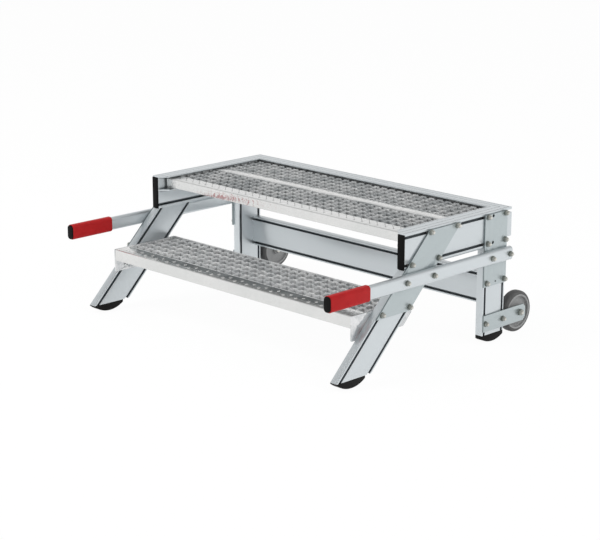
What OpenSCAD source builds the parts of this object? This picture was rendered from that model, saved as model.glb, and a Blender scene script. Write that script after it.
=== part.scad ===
/* [Platform] */
// Width over the outer faces of the side rails
platform_w = 1060; // [800:10:1500]
// Height of the rim above the floor
platform_h = 392; // [370:1:480]
// Length of the side rails, front to back
rail_l = 464; // [430:1:640]
// Angle of the front legs from the floor
lean = 45; // [42:1:50]

/* [Rim rails] */
// Height of a side rail
rail_h = 103; // [100:1:112]
// Height of the back rail, which has no lower slot
back_rail_h = 87; // [80:1:90]
// Width of the top flange, from the outer face
flange_w = 50; // [42:1:56]
// Thickness of the top flange
flange_t = 4; // [3:0.5:5]
// Thickness of the ledge that carries the deck
ledge_t = 4; // [3:0.5:5]
// Depth of the ledge's top below the rim
ledge_drop = 42; // [40:1:45]
// Depth of the upper slot's centre line below the rim
top_slot_drop = 11.5; // [11:0.1:12.5]
// Front plate of the rails' end caps
cap_t = 2.5; // [2:0.5:4]

/* [Slotted profile] */
// Wide side of the leg and beam profile
profile_w = 96; // [96:1:104]
// Thin side of every profile, rails included
profile_t = 25; // [24:0.5:30]
// Distance between the two slots of a wide face
slot_pitch = 79; // [76:1:80]
// Width of a slot's mouth
slot_w = 8; // [8:0.1:8.6]
// Width of the slot behind its lips
cavity_w = 12; // [12:0.1:12.8]
// Thickness of a slot's lips
lip_t = 2.5; // [2:0.1:3]
// Depth of the slot behind its lips
cavity_depth = 8; // [7:0.5:8]
// Wall of the hollow chambers
wall = 2.5; // [2:0.1:2.5]

/* [Cross beam] */
// Drop of the beam's upper edge below the side rails
beam_drop = 93.5; // [84:0.5:98]
// Distance of the beam's back from the rear legs' back
beam_inset = 9; // [6:0.5:12]
// Reach of the tenon into the beam
tenon_in = 40; // [30:1:60]
// Reach of the tenon into the leg, past the leg's wall
tenon_out = 17; // [10:1:18]

/* [Gusset plates] */
// Thickness of the gusset plates and wheel brackets
plate_t = 5; // [4:0.5:6]
// Depth of the gussets' top edge below the rim
gusset_top_drop = 5.5; // [4.5:0.5:6]
// Depth of the gussets' bottom edge below the side rails
gusset_reach = 117; // [112:1:125]
// Step of the front gusset's edge in from the leg's edge
gusset_edge = 0.5; // [0:0.5:2]
// Reach of the rear gusset in front of the rear leg
gusset_nose = 4; // [0:0.5:6]
// Height of the lowest gusset bolts above the gusset's edge
gusset_bolt_up = 11; // [10:0.5:14]
// Bore of the bolt holes in the plates
hole_d = 9; // [8.6:0.1:10]
// Distance of the spare holes behind the front slot line
spare_dy = 23.5; // [20:0.5:28]
// Bore of the tooling hole near the rear gusset's foot
tooling_d = 5; // [3:0.5:6]

/* [Handles] */
// Height of the handle tube's section
handle_h = 40; // [36:1:44]
// Width of the handle tube's section
handle_w = 20; // [18:1:24]
// Corner radius of the handle tube
handle_r = 8.5; // [6:0.5:8.5]
// Wall of the handle tube
handle_wall = 2; // [1.5:0.5:2.5]
// Reach of the tube in front of the side rails
handle_reach = 316; // [290:1:380]
// Drop of the tube's top edge below the side rails
handle_drop = 7.5; // [5:0.5:12]
// Length of the grip sleeve
grip_l = 151; // [120:1:160]
// Wall of the grip sleeve
grip_wall = 3; // [2:0.5:4]
// Head of the plug in the tube's front end
plug_t = 4; // [3:0.5:6]
// Head of the cap on the tube's rear end
handle_cap_t = 3; // [2:0.5:4]
// Length of every plug's spigot
spigot_l = 20; // [12:1:25]

/* [Feet] */
// Height of the feet
foot_h = 24; // [22:1:28]
// Radius of the curved sole
sole_r = 92; // [90:1:120]
// Length of a front foot along the floor
front_foot_l = 112; // [111.5:0.5:120]
// Distance of the sole's lowest line behind a front foot's tip
front_sole_back = 59; // [55:1:62]

/* [Wheels] */
// Outer diameter of the tyre
wheel_d = 125; // [110:1:126]
// Width of the wheel
wheel_w = 30; // [26:1:34]
// Height of the tyre's tread above the floor, with the feet down
wheel_lift = 1; // [0.6:0.1:4]
// Distance of the axle behind the rear legs
axle_back = 73; // [70:1:90]
// Gap between the wheel and its bracket
wheel_gap = 2; // [1.9:0.1:3]
// Outer diameter of the rim under the tyre
rim_d = 104; // [90:1:106]
// Thickness of the rim's disc
disc_t = 12; // [8:1:16]
// Outer diameter of the rim's hub
hub_d = 30; // [26:1:36]
// Outer diameter of the bush
bush_d = 16; // [14:1:18]
// Diameter of the axle bolt
axle_d = 10; // [8:0.5:12]

/* [Wheel brackets] */
// Height of the bracket plate
bracket_h = 50; // [44:1:54]
// Height of the bracket's lower edge above the floor
bracket_bottom = 36; // [32:1:38]
// Reach of the bracket behind the axle
bracket_tail = 25; // [20:1:28]
// Chamfer of the bracket's rear corners
bracket_chamfer = 10; // [6:1:14]

/* [Deck] */
// Depth of the deck's surface below the rim
deck_drop = 8; // [7:0.5:10]
// Gap between the deck's ends and the side rails
deck_gap = 7; // [4:0.5:9]
// Distance of the deck's front face behind the rails' front
deck_setback = 30; // [26:1:36]
// Height of the deck nosing's front face
deck_nosing_h = 28; // [24:1:32]
// Depth of the deck nosing's top face
deck_nosing_l = 45; // [40:1:56]
// Sheet thickness of the nosings and the joint strip
sheet_t = 2.5; // [2:0.5:3]
// Depth of the front grating, front to back
front_grating_l = 152; // [120:1:170]
// Width of the joint strip between the gratings
strip_w = 30; // [24:1:40]
// Gap between the rear grating and the back rail
deck_back_gap = 2; // [1:0.5:4]

/* [Gratings] */
// Distance between the deck's bars, middle to middle
deck_mesh = 32.3; // [28:0.1:40]
// Distance between the step's bars, middle to middle
step_mesh = 33.1; // [28:0.1:40]
// Distance of the rear grating's first bar from its front band
part_cell = 19.5; // [10:0.5:40]
// Least distance between a bar and a grating's rear band
least_cell = 10; // [8:0.5:16]
// Height of the bearing bars
bar_h = 30; // [26:1:32]
// Thickness of the bearing bars and the bands
bar_t = 3; // [2:0.5:4]
// Height of the cross bars
cross_h = 10; // [6:1:14]
// Thickness of the cross bars
cross_t = 2; // [1.5:0.5:3]

/* [Step] */
// Height of the step's surface above the floor
step_h = 191; // [175:1:200]
// Depth of the step, front to back
step_l = 242; // [220:1:260]
// Depth of the step nosing's top face
step_nosing_l = 53; // [40:1:60]
// Distance of the step's front from the leg's middle at the fixings
step_front_reach = 97; // [90:1:105]
// Height of the step nosing's front face
step_nosing_h = 34.5; // [32:0.5:38]
// Thickness of the step's end plates
end_plate_t = 5; // [4:0.5:6]
// Height of the step's end plates
end_plate_h = 71; // [68:1:76]
// Cut of the end plates' rear lower corners, along each side
end_plate_cut = 33; // [10:1:36]
// Height of the step's fixings above the end plates' lower edge
fixing_up = 16; // [14:1:20]

/* [Fasteners] */
// Diameter of the bolts in the slots
bolt_d = 7.8; // [7.4:0.1:7.8]
// Width across the flats of the nuts
nut_af = 13; // [12:0.5:14]
// Height of the nuts
nut_h = 6.5; // [5:0.5:8]
// Outer diameter of the washers
washer_d = 17; // [15:0.5:18]
// Thickness of the washers
washer_t = 1.6; // [1:0.1:2]
// Length of thread that stands out of a nut
thread_end = 4.4; // [2:0.1:6]
// Length of a slot bolt's head along the slot
t_head_l = 16; // [14:1:18]
// Thickness of a slot bolt's head
t_head_t = 5; // [4:0.5:6]
// Diameter of the small screws
screw_d = 5.8; // [5:0.1:6]
// Diameter of the small screws' heads
screw_head_d = 10.5; // [9.5:0.1:12]
// Height of the small screws' heads
screw_head_h = 3.3; // [2.5:0.1:4]
// Diameter of the step bolts' heads
step_head_d = 14; // [12.5:0.5:15]
// Height of the step bolts' heads
step_head_h = 4.4; // [3.5:0.1:5]
// Width across the flats of the step bolts' sockets
socket_af = 5; // [4:0.5:6]
// Depth of the step bolts' sockets
socket_depth = 2.6; // [2:0.1:3]
// Width across the flats of the axle bolt's head
axle_head_af = 17; // [16:0.5:19]
// Height of the axle bolt's head
axle_head_h = 6.4; // [5:0.2:8]

/* [Clearances] */
// Play of a plug, key or tenon in its chamber, each side
plug_play = 0.2; // [0.1:0.05:0.4]
// Play of a screw or bolt in its thread, each side
thread_play = 0.05; // [0.02:0.01:0.1]
// Play of a slot bolt's head between the slot's walls, each side
head_play = 0.3; // [0.2:0.1:0.5]
// Play of the bush on the axle, each side
axle_play = 0.05; // [0.02:0.01:0.1]
// Play of the bush between its washers, each side
end_play = 0.2; // [0.1:0.1:0.4]
// Play of the axle bolt and the small screws in a plate, each side
bore_play = 0.3; // [0.1:0.1:0.5]

/* [Hidden] */
$fn = 48;
// Overrun of a cut past the face that it opens
over = 1;

// Faces of the frame, right-hand side
outer_x = platform_w / 2;
inner_x = outer_x - profile_t;
plate_x = outer_x + plate_t;
handle_x = plate_x + handle_w;

// Heights of the rim
rail_bottom = platform_h - rail_h;
back_rail_bottom = platform_h - back_rail_h;
slot_top_z = platform_h - top_slot_drop;
slot_low_z = slot_top_z - slot_pitch;
ledge_z = platform_h - ledge_drop;
deck_z = platform_h - deck_drop;

// Slots and chambers of the leg profile, from its middle
slot_depth = lip_t + cavity_depth;
chamber_end = slot_pitch / 2 - cavity_w / 2 - wall;

// Front legs: half the profile and half the slot pitch, measured level
lean_half = profile_w / 2 / sin(lean);
lean_slot = slot_pitch / 2 / sin(lean);
function leg_y(z) = lean_half + (z - rail_bottom) / tan(lean);

// Rear legs stand against the back rail
rear_leg_back = rail_l - profile_t;
rear_leg_y = rear_leg_back - profile_w / 2;

// Gussets, handles, brackets
gusset_top = platform_h - gusset_top_drop;
gusset_bottom = rail_bottom - gusset_reach;
gusset_low_z = gusset_bottom + gusset_bolt_up;
handle_z = rail_bottom - handle_drop - handle_h / 2;
handle_front = -handle_reach;
bracket_z = bracket_bottom + bracket_h / 2;
tooling_y = rear_leg_y;

// Wheels
wheel_r = wheel_d / 2;
axle_y = rear_leg_back + axle_back;
axle_z = wheel_r + wheel_lift;
wheel_x = outer_x - wheel_gap - wheel_w / 2;
bush_l = wheel_w;
spacer_t = wheel_gap - end_play;

// Beam
beam_z = rail_bottom - beam_drop - profile_w / 2;
beam_back = rear_leg_back - beam_inset;
beam_front = beam_back - profile_t;
tenon_y0 = beam_front + wall + plug_play;
tenon_y1 = rear_leg_y + chamber_end - plug_play;
tenon_screw_x = inner_x - tenon_in / 2;

// Deck
deck_x = inner_x - deck_gap;
grating_y0 = deck_setback + deck_nosing_l;
strip_y0 = grating_y0 + front_grating_l;
rear_grating_y0 = strip_y0 + strip_w;
deck_back = rear_leg_back - deck_back_gap;
deck_screw_x = (deck_x + outer_x - flange_w) / 2;
deck_screw_y = deck_setback + deck_nosing_l / 2;
lug_t = 4;
lug_l = 20;
cheek_t = 3;

// Step
fixing_z = step_h - end_plate_h + fixing_up;
step_y0 = leg_y(fixing_z) - step_front_reach;
step_y1 = step_y0 + step_l;
step_x = inner_x - end_plate_t;

// Slot bolts: place along the frame, height, and the slot's slope
front_gusset_bolts = [for (z = [slot_top_z, slot_low_z, gusset_low_z], s = [-1, 1])
    [leg_y(z) + s * lean_slot, z, z < rail_bottom ? lean : 0]];
rear_gusset_bolts = [for (z = [slot_top_z, slot_low_z, gusset_low_z], s = [-1, 1])
    [rear_leg_y + s * slot_pitch / 2, z, z < rail_bottom ? 90 : 0]];
bracket_bolts = [for (s = [-1, 1]) [rear_leg_y + s * slot_pitch / 2, bracket_z, 90]];
front_handle_bolts = [for (s = [-1, 1]) [leg_y(handle_z) + s * lean_slot, handle_z, lean]];
rear_handle_bolts = [for (s = [-1, 1]) [rear_leg_y + s * slot_pitch / 2, handle_z, 90]];
plate_bolts = concat(front_gusset_bolts, rear_gusset_bolts, bracket_bolts);
handle_bolts = concat(front_handle_bolts, rear_handle_bolts);
spare_y = rear_leg_y - slot_pitch / 2 + spare_dy;
spare_holes = [[spare_y, slot_top_z], [spare_y, slot_low_z]];
step_bolt_places = [for (s = [-1, 1]) [leg_y(fixing_z) + s * lean_slot, fixing_z]];

// The middle of the whole object, front to back, is the origin
reach_front = handle_front - plug_t;
reach_back = axle_y + wheel_r;
centre_y = (reach_front + reach_back) / 2;

alu = "#c6cbcd";
plate_grey = "#b4bdbf";
steel = "#a9adab";
galvanised = "#c9cbca";
rubber = "#242524";
grip_red = "#aa2f30";
tyre_grey = "#545454";
rim_grey = "#8b8c8c";

// Placing

module place() translate([0, -centre_y, 0]) children();

module on_right() place() children();

module on_left() place() mirror([1, 0, 0]) children();

module on_both() {
    on_right() children();
    on_left() children();
}

// A flat outline in Y and Z, given its thickness along X from x
module slab_x(x, t) translate([x, 0, 0]) rotate([90, 0, 90]) linear_extrude(t) children();

// A flat outline in X and Z, given its length along Y from y0 to y1
module bar_y(y0, y1) translate([0, y1, 0]) rotate([90, 0, 0]) linear_extrude(y1 - y0) children();

// A round bar along X from x0 to x1
module rod_x(x0, x1, d, y, z) translate([x0, y, z]) rotate([0, 90, 0]) cylinder(d = d, h = x1 - x0);

// A box between two corners
module block(a, b) translate(a) cube(b - a);

module rounded_rect(w, h, r) {
    square([w - 2 * r, h], center = true);
    square([w, h - 2 * r], center = true);
    for (x = [-1, 1], y = [-1, 1]) translate([x * (w / 2 - r), y * (h / 2 - r)]) circle(r);
}

module hexagon(af) circle(d = af / cos(30), $fn = 6);

// Profiles

// One slot that opens at x = 0 towards +x, with its middle at y = 0
module slot_outline() {
    translate([-slot_depth, -slot_w / 2]) square([slot_depth + over, slot_w]);
    translate([-slot_depth, -cavity_w / 2]) square([cavity_depth, cavity_w]);
}

// Leg and beam section: thin side along x, wide side along y
module profile_section() difference() {
    square([profile_t, profile_w], center = true);
    for (side = [0, 180], s = [-1, 1])
        rotate(side) translate([profile_t / 2, s * slot_pitch / 2]) slot_outline();
    for (s = [-1, 1]) chamber_outline(s, 0);
}

// One of the profile's two chambers, or with play, the plug that fits it
module chamber_outline(s, play) translate([0, s * (chamber_end + wall / 2) / 2])
    square([profile_t - 2 * wall - 2 * play, chamber_end - wall / 2 - 2 * play], center = true);

// Rim section: outer face at x = 0, inside towards -x, heights from the floor
module rim_section(bottom) difference() {
    union() {
        translate([-profile_t, bottom]) square([profile_t, platform_h - bottom]);
        translate([-flange_w, platform_h - flange_t]) square([flange_w, flange_t]);
        translate([-flange_w, ledge_z - ledge_t]) square([flange_w, ledge_t]);
    }
    translate([0, slot_top_z]) slot_outline();
    if (bottom < slot_low_z) {
        translate([0, slot_low_z]) slot_outline();
        translate([-profile_t, slot_low_z]) rotate(180) slot_outline();
    }
    for (zz = rim_chambers(bottom)) rim_chamber_outline(zz, 0);
}

// The rim's lower and upper chamber, each as its lowest and highest level
function rim_chambers(bottom) = [
    [bottom < slot_low_z ? slot_low_z + cavity_w / 2 + wall : bottom + wall, ledge_z - ledge_t],
    [ledge_z, slot_top_z - cavity_w / 2 - wall]];

module rim_chamber_outline(zz, play) translate([wall - profile_t + play, zz[0] + play])
    square([profile_t - 2 * wall - 2 * play, zz[1] - zz[0] - 2 * play]);

// Rails

// The rear corner is mitred, so a rail keeps one side of this line
module mitre_cut(bottom) translate([0, 0, bottom - over]) linear_extrude(rail_h + 2 * over)
    polygon([[outer_x + over, rail_l + over],
        [outer_x - 2 * flange_w, rail_l - 2 * flange_w],
        [outer_x - 2 * flange_w, rail_l + over]]);

module side_rail() color(alu) difference() {
    bar_y(0, rail_l) translate([outer_x, 0]) rim_section(rail_bottom);
    mitre_cut(rail_bottom);
    block([inner_x - over, rear_leg_back, rail_bottom - over],
        [outer_x + over, rail_l + over, back_rail_bottom]);
    // The flanges' inner corners are cut off at the front
    translate([0, 0, ledge_z - ledge_t - over]) linear_extrude(ledge_drop + ledge_t + 2 * over)
        polygon([[inner_x, -over], [inner_x, 0],
            [outer_x - flange_w, flange_w - profile_t],
            [outer_x - flange_w - over, flange_w - profile_t],
            [outer_x - flange_w - over, -over]]);
    translate([deck_screw_x, deck_screw_y, ledge_z - ledge_t - over])
        cylinder(d = screw_d + 2 * bore_play, h = ledge_t + 2 * over);
}

module left_side_rail() on_left() side_rail();
module right_side_rail() on_right() side_rail();

module back_rail() color(alu) place() difference() {
    translate([-outer_x, rail_l, 0]) rotate([90, 0, 90]) linear_extrude(platform_w)
        rim_section(back_rail_bottom);
    for (m = [0, 1]) mirror([m, 0, 0]) translate([0, 0, back_rail_bottom - over])
        linear_extrude(rail_h + 2 * over)
            polygon([[outer_x + over, rail_l + over],
                [outer_x - 2 * flange_w, rail_l - 2 * flange_w],
                [outer_x + over, rail_l - 2 * flange_w]]);
}

// An angle in each chamber holds the mitred corner together
module corner_key(zz) {
    key_l = 3 * profile_t;
    low = zz[0] + plug_play;
    high = zz[1] - plug_play;
    block([inner_x + wall + plug_play, rail_l - key_l, low],
        [outer_x - wall - plug_play, rail_l - wall - plug_play, high]);
    block([outer_x - key_l, rear_leg_back + wall + plug_play, low],
        [outer_x - wall - plug_play, rail_l - wall - plug_play, high]);
}

module corner_keys() color(steel) on_both()
    for (zz = rim_chambers(rail_bottom)) corner_key(zz);

module rail_end_cap() color(rubber) {
    corner = 4;
    bar_y(-cap_t, 0) difference() {
        translate([inner_x, rail_bottom]) square([profile_t, rail_h - flange_t]);
        for (m = [0, 1]) translate([m == 0 ? inner_x : outer_x, rail_bottom]) mirror([m, 0]) difference() {
            translate([-over, -over]) square(corner + over);
            translate([corner, corner]) circle(corner);
        }
    }
    bar_y(0, spigot_l) translate([outer_x, 0])
        for (zz = rim_chambers(rail_bottom)) rim_chamber_outline(zz, plug_play);
}

module left_rail_end_cap() on_left() rail_end_cap();
module right_rail_end_cap() on_right() rail_end_cap();

// Legs

// A profile that passes through the leg's middle at height z, sloped as the front legs are
module leaning(z) translate([inner_x + profile_t / 2, leg_y(z), z]) rotate([lean - 90, 0, 0]) children();

module front_leg() color(alu) {
    long = 2 * platform_h;
    intersection() {
        leaning(foot_h) translate([0, 0, -platform_h / 2]) linear_extrude(long) profile_section();
        block([inner_x - over, -2 * long, foot_h], [outer_x + over, 2 * long, rail_bottom]);
    }
}

module left_front_leg() on_left() front_leg();
module right_front_leg() on_right() front_leg();

module rear_leg() color(alu) difference() {
    translate([inner_x + profile_t / 2, rear_leg_y, foot_h]) linear_extrude(rail_bottom - foot_h)
        profile_section();
    for (s = [-1, 1]) block(
        [inner_x - over, tenon_y0 - plug_play, tenon_low(s) - plug_play],
        [inner_x + wall + over, tenon_y1 + plug_play, tenon_high(s) + plug_play]);
}

module left_rear_leg() on_left() rear_leg();
module right_rear_leg() on_right() rear_leg();

// Beam between the rear legs

// Lowest and highest level of the lower (s = -1) and upper (s = 1) tenon
function tenon_low(s) = beam_z + (s < 0 ? -chamber_end : wall / 2) + plug_play;
function tenon_high(s) = beam_z + (s < 0 ? -wall / 2 : chamber_end) - plug_play;
function tenon_mid(s) = (tenon_low(s) + tenon_high(s)) / 2;

module cross_beam() color(alu) place() difference() {
    translate([-inner_x, beam_front + profile_t / 2, beam_z]) rotate([90, 0, 90])
        linear_extrude(2 * inner_x) profile_section();
    for (x = [-1, 1], s = [-1, 1]) translate([x * tenon_screw_x, beam_back + over, tenon_mid(s)])
        rotate([90, 0, 0]) cylinder(d = screw_d + 2 * bore_play, h = wall + 2 * over);
}

// A plug in the beam whose narrower end goes through the leg's wall
module beam_tenon(s) difference() {
    union() {
        block([inner_x - tenon_in, tenon_y0, tenon_low(s)],
            [inner_x, beam_back - wall - plug_play, tenon_high(s)]);
        block([inner_x - over, tenon_y0, tenon_low(s)],
            [inner_x + wall + tenon_out, tenon_y1, tenon_high(s)]);
    }
    translate([tenon_screw_x, beam_back, tenon_mid(s)]) rotate([90, 0, 0])
        cylinder(d = screw_d + 2 * thread_play, h = profile_t);
}

module beam_tenons() color(steel) on_both() for (s = [-1, 1]) beam_tenon(s);

// A small screw along +z whose head rests on z = 0 and reaches down
module small_screw(length) {
    translate([0, 0, -screw_head_h]) cylinder(d = screw_head_d, h = screw_head_h);
    cylinder(d = screw_d, h = length);
}

module beam_screws() color(steel) on_both() for (s = [-1, 1])
    translate([tenon_screw_x, beam_back, tenon_mid(s)]) rotate([90, 0, 0])
        small_screw(profile_t - 2 * wall);

// Feet

// The sole between y0 and y1, lowest at yc
module sole(y0, y1, yc) intersection() {
    block([inner_x, y0, 0], [outer_x, y1, foot_h]);
    rod_x(inner_x - over, outer_x + over, 2 * sole_r, yc, sole_r, $fn = 96);
}

module front_foot() color(rubber) {
    tip = leg_y(foot_h) - lean_half;
    sole(tip, tip + front_foot_l, tip + front_sole_back);
    intersection() {
        leaning(foot_h) translate([0, 0, -profile_w]) linear_extrude(profile_w + spigot_l)
            for (s = [-1, 1]) chamber_outline(s, plug_play);
        block([inner_x, tip, foot_h], [outer_x, tip + 2 * profile_w, foot_h + spigot_l]);
    }
}

module left_front_foot() on_left() front_foot();
module right_front_foot() on_right() front_foot();

module rear_foot() color(rubber) {
    sole(rear_leg_back - profile_w, rear_leg_back, rear_leg_y);
    translate([inner_x + profile_t / 2, rear_leg_y, foot_h]) linear_extrude(spigot_l)
        for (s = [-1, 1]) chamber_outline(s, plug_play);
}

module left_rear_foot() on_left() rear_foot();
module right_rear_foot() on_right() rear_foot();

// Gusset plates

module bolt_holes(places) for (p = places) translate([p[0], p[1]]) circle(d = hole_d);

module front_gusset() color(plate_grey) slab_x(outer_x, plate_t) difference() {
    half = lean_half - gusset_edge / sin(lean);
    polygon([[leg_y(gusset_top) - half, gusset_top], [leg_y(gusset_top) + half, gusset_top],
        [leg_y(gusset_bottom) + half, gusset_bottom], [leg_y(gusset_bottom) - half, gusset_bottom]]);
    bolt_holes(concat(front_gusset_bolts, front_handle_bolts));
}

module left_front_gusset() on_left() front_gusset();
module right_front_gusset() on_right() front_gusset();

module rear_gusset() color(plate_grey) slab_x(outer_x, plate_t) difference() {
    front = rear_leg_back - profile_w - gusset_nose;
    translate([front, gusset_bottom]) square([rear_leg_back - front, gusset_top - gusset_bottom]);
    bolt_holes(concat(rear_gusset_bolts, rear_handle_bolts, spare_holes));
    translate([tooling_y, gusset_low_z]) circle(d = tooling_d);
}

module left_rear_gusset() on_left() rear_gusset();
module right_rear_gusset() on_right() rear_gusset();

// Handles

module handle_tube() color(alu) difference() {
    bar_y(handle_front, rear_leg_back) translate([plate_x + handle_w / 2, handle_z]) difference() {
        rounded_rect(handle_w, handle_h, handle_r);
        tube_bore_outline(0);
    }
    for (p = handle_bolts) rod_x(plate_x - over, handle_x + over, hole_d, p[0], p[1]);
}

// The tube's hollow, or with play, the plug that fits it
module tube_bore_outline(play) rounded_rect(handle_w - 2 * handle_wall - 2 * play,
    handle_h - 2 * handle_wall - 2 * play, handle_r - handle_wall - play);

module left_handle_tube() on_left() handle_tube();
module right_handle_tube() on_right() handle_tube();

module grip() color(grip_red) bar_y(handle_front, handle_front + grip_l)
    translate([plate_x + handle_w / 2, handle_z]) difference() {
        rounded_rect(handle_w + 2 * grip_wall, handle_h + 2 * grip_wall, handle_r + grip_wall / 2);
        rounded_rect(handle_w + 2 * thread_play, handle_h + 2 * thread_play, handle_r + thread_play);
    }

module left_grip() on_left() grip();
module right_grip() on_right() grip();

module handle_plug() color(rubber) {
    translate([plate_x + handle_w / 2, 0, handle_z]) {
        bar_y(handle_front - plug_t, handle_front)
            rounded_rect(handle_w + grip_wall, handle_h + grip_wall, handle_r + grip_wall / 2);
        bar_y(handle_front, handle_front + spigot_l) tube_bore_outline(plug_play);
    }
}

module left_handle_plug() on_left() handle_plug();
module right_handle_plug() on_right() handle_plug();

// The bolt at the tube's rear end leaves room for a short spigot only
module handle_cap() color(plate_grey) {
    inside = rear_leg_back - (rear_leg_y + slot_pitch / 2) - bolt_d / 2 - over;
    translate([plate_x + handle_w / 2, 0, handle_z]) {
        bar_y(rear_leg_back, rear_leg_back + handle_cap_t)
            rounded_rect(handle_w, handle_h, handle_r);
        bar_y(rear_leg_back - inside, rear_leg_back) tube_bore_outline(plug_play);
    }
}

module left_handle_cap() on_left() handle_cap();
module right_handle_cap() on_right() handle_cap();

// Wheels

module wheel_bracket() color(plate_grey) slab_x(outer_x, plate_t) difference() {
    front = rear_leg_back - profile_w;
    back = axle_y + bracket_tail;
    top = bracket_bottom + bracket_h;
    polygon([[front, bracket_bottom], [back - bracket_chamfer, bracket_bottom],
        [back, bracket_bottom + bracket_chamfer], [back, top - bracket_chamfer],
        [back - bracket_chamfer, top], [front, top]]);
    bolt_holes(bracket_bolts);
    translate([axle_y, axle_z]) circle(d = axle_d + 2 * bore_play);
}

module left_wheel_bracket() on_left() wheel_bracket();
module right_wheel_bracket() on_right() wheel_bracket();

// A wheel piece is turned from an outline of radius and width, about the axle
module on_axle() translate([wheel_x, axle_y, axle_z]) rotate([0, 90, 0]) rotate_extrude($fn = 96)
    children();

module tyre() color(tyre_grey) on_axle() {
    shoulder = wheel_w / 3.2;
    belt = wheel_r - rim_d / 2 - shoulder;
    translate([rim_d / 2, -wheel_w / 2]) square([belt, wheel_w]);
    translate([rim_d / 2, shoulder - wheel_w / 2])
        square([wheel_r - rim_d / 2, wheel_w - 2 * shoulder]);
    for (s = [-1, 1]) intersection() {
        translate([wheel_r - shoulder, s * (wheel_w / 2 - shoulder)]) circle(shoulder);
        translate([rim_d / 2, -wheel_w / 2]) square([wheel_r, wheel_w]);
    }
}

module left_tyre() on_left() tyre();
module right_tyre() on_right() tyre();

module rim() color(rim_grey) on_axle() {
    ring_t = 5;
    bore_r = bush_d / 2 + thread_play;
    translate([rim_d / 2 - ring_t, -wheel_w / 2]) square([ring_t, wheel_w]);
    translate([bore_r, -disc_t / 2]) square([rim_d / 2 - bore_r, disc_t]);
    translate([bore_r, -wheel_w / 2]) square([hub_d / 2 - bore_r, wheel_w]);
}

module left_rim() on_left() rim();
module right_rim() on_right() rim();

module bush() color(galvanised) on_axle() translate([axle_d / 2 + axle_play, -bush_l / 2])
    square([bush_d / 2 - axle_d / 2 - axle_play, bush_l]);

module left_bush() on_left() bush();
module right_bush() on_right() bush();

// The axle bolt's head is inside, its nut outside on the bracket
axle_head_x = wheel_x - bush_l / 2 - end_play - washer_t;

module axle_bolt() color(steel) {
    tip = plate_x + washer_t + nut_h + thread_end;
    translate([axle_head_x - axle_head_h, axle_y, axle_z]) rotate([0, 90, 0])
        linear_extrude(axle_head_h) hexagon(axle_head_af);
    rod_x(axle_head_x, tip, axle_d, axle_y, axle_z);
}

module left_axle_bolt() on_left() axle_bolt();
module right_axle_bolt() on_right() axle_bolt();

// A washer on the bolt of diameter d, from x towards +x
module ring_x(x, t, d, y, z) translate([x, y, z]) rotate([0, 90, 0]) linear_extrude(t) difference() {
    circle(d = washer_d + max(0, d - bolt_d));
    circle(d = d + 2 * thread_play);
}

module axle_washers() color(steel) on_both() {
    ring_x(axle_head_x, washer_t, axle_d, axle_y, axle_z);
    ring_x(outer_x - spacer_t, spacer_t, axle_d, axle_y, axle_z);
    ring_x(plate_x, washer_t, axle_d, axle_y, axle_z);
}

// A hexagon nut on the bolt of diameter d, from x towards +x
module nut_x(x, d, y, z) translate([x, y, z]) rotate([0, 90, 0]) linear_extrude(nut_h) difference() {
    hexagon(nut_af + 2 * max(0, d - bolt_d));
    circle(d = d + 2 * thread_play);
}

module axle_nuts() color(steel) on_both() nut_x(plate_x + washer_t, axle_d, axle_y, axle_z);

// Deck

// Sheet bent down at the front: top at z1 from y0 to y1, front face as high as depth
module nosing_sheet(x, y0, y1, z1, depth) {
    block([-x, y0, z1 - sheet_t], [x, y1, z1]);
    block([-x, y0, z1 - depth], [x, y0 + sheet_t, z1]);
}

module deck_nosing() color(galvanised) place() {
    nosing_sheet(deck_x, deck_setback, grating_y0, deck_z, deck_nosing_h);
    for (m = [0, 1]) mirror([m, 0, 0]) difference() {
        union() {
            block([deck_x - cheek_t, deck_setback + sheet_t, ledge_z],
                [deck_x, grating_y0, deck_z - sheet_t]);
            block([2 * deck_screw_x - deck_x, deck_screw_y - lug_l / 2, ledge_z],
                [deck_x, deck_screw_y + lug_l / 2, ledge_z + lug_t]);
        }
        translate([deck_screw_x, deck_screw_y, ledge_z - over])
            cylinder(d = screw_d + 2 * thread_play, h = lug_t + 2 * over);
    }
}

// A grating between y0 and y1 with bands round it; its ends stand on foot.
// The bars follow each other by mesh, the first one by first from the front band.
module grating(x, y0, y1, mesh, first, top, foot, back_foot) {
    columns = max(1, round((2 * x - bar_t) / mesh));
    for (m = [-1, 1]) block([m * x - (m > 0 ? bar_t : 0), y0, foot], [m * x + (m < 0 ? bar_t : 0), y1, top]);
    block([-x, y0, top - bar_h], [x, y0 + bar_t, top]);
    block([-x, y1 - bar_t, back_foot], [x, y1, top]);
    for (y = [y0 + first : mesh : y1 - bar_t - least_cell])
        block([-x, y, top - bar_h], [x, y + bar_t, top]);
    for (i = [1 : columns - 1]) {
        bx = -x + bar_t / 2 + i * (2 * x - bar_t) / columns;
        block([bx - cross_t / 2, y0, top - cross_h], [bx + cross_t / 2, y1, top]);
    }
}

module deck_front_grating() color(galvanised) place()
    grating(deck_x, grating_y0, strip_y0, deck_mesh, deck_mesh, deck_z, ledge_z, deck_z - bar_h);

module deck_rear_grating() color(galvanised) place()
    grating(deck_x, rear_grating_y0, deck_back, deck_mesh, part_cell, deck_z, ledge_z, ledge_z);

module deck_joint_strip() color(galvanised) place() difference() {
    block([-deck_x, strip_y0, ledge_z], [deck_x, rear_grating_y0, deck_z]);
    block([-deck_x - over, strip_y0 + sheet_t, ledge_z - over],
        [deck_x + over, rear_grating_y0 - sheet_t, deck_z - sheet_t]);
}

module deck_screws() color(steel) on_both() translate([deck_screw_x, deck_screw_y, ledge_z - ledge_t])
    small_screw(ledge_t + lug_t + over);

// Step

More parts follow.
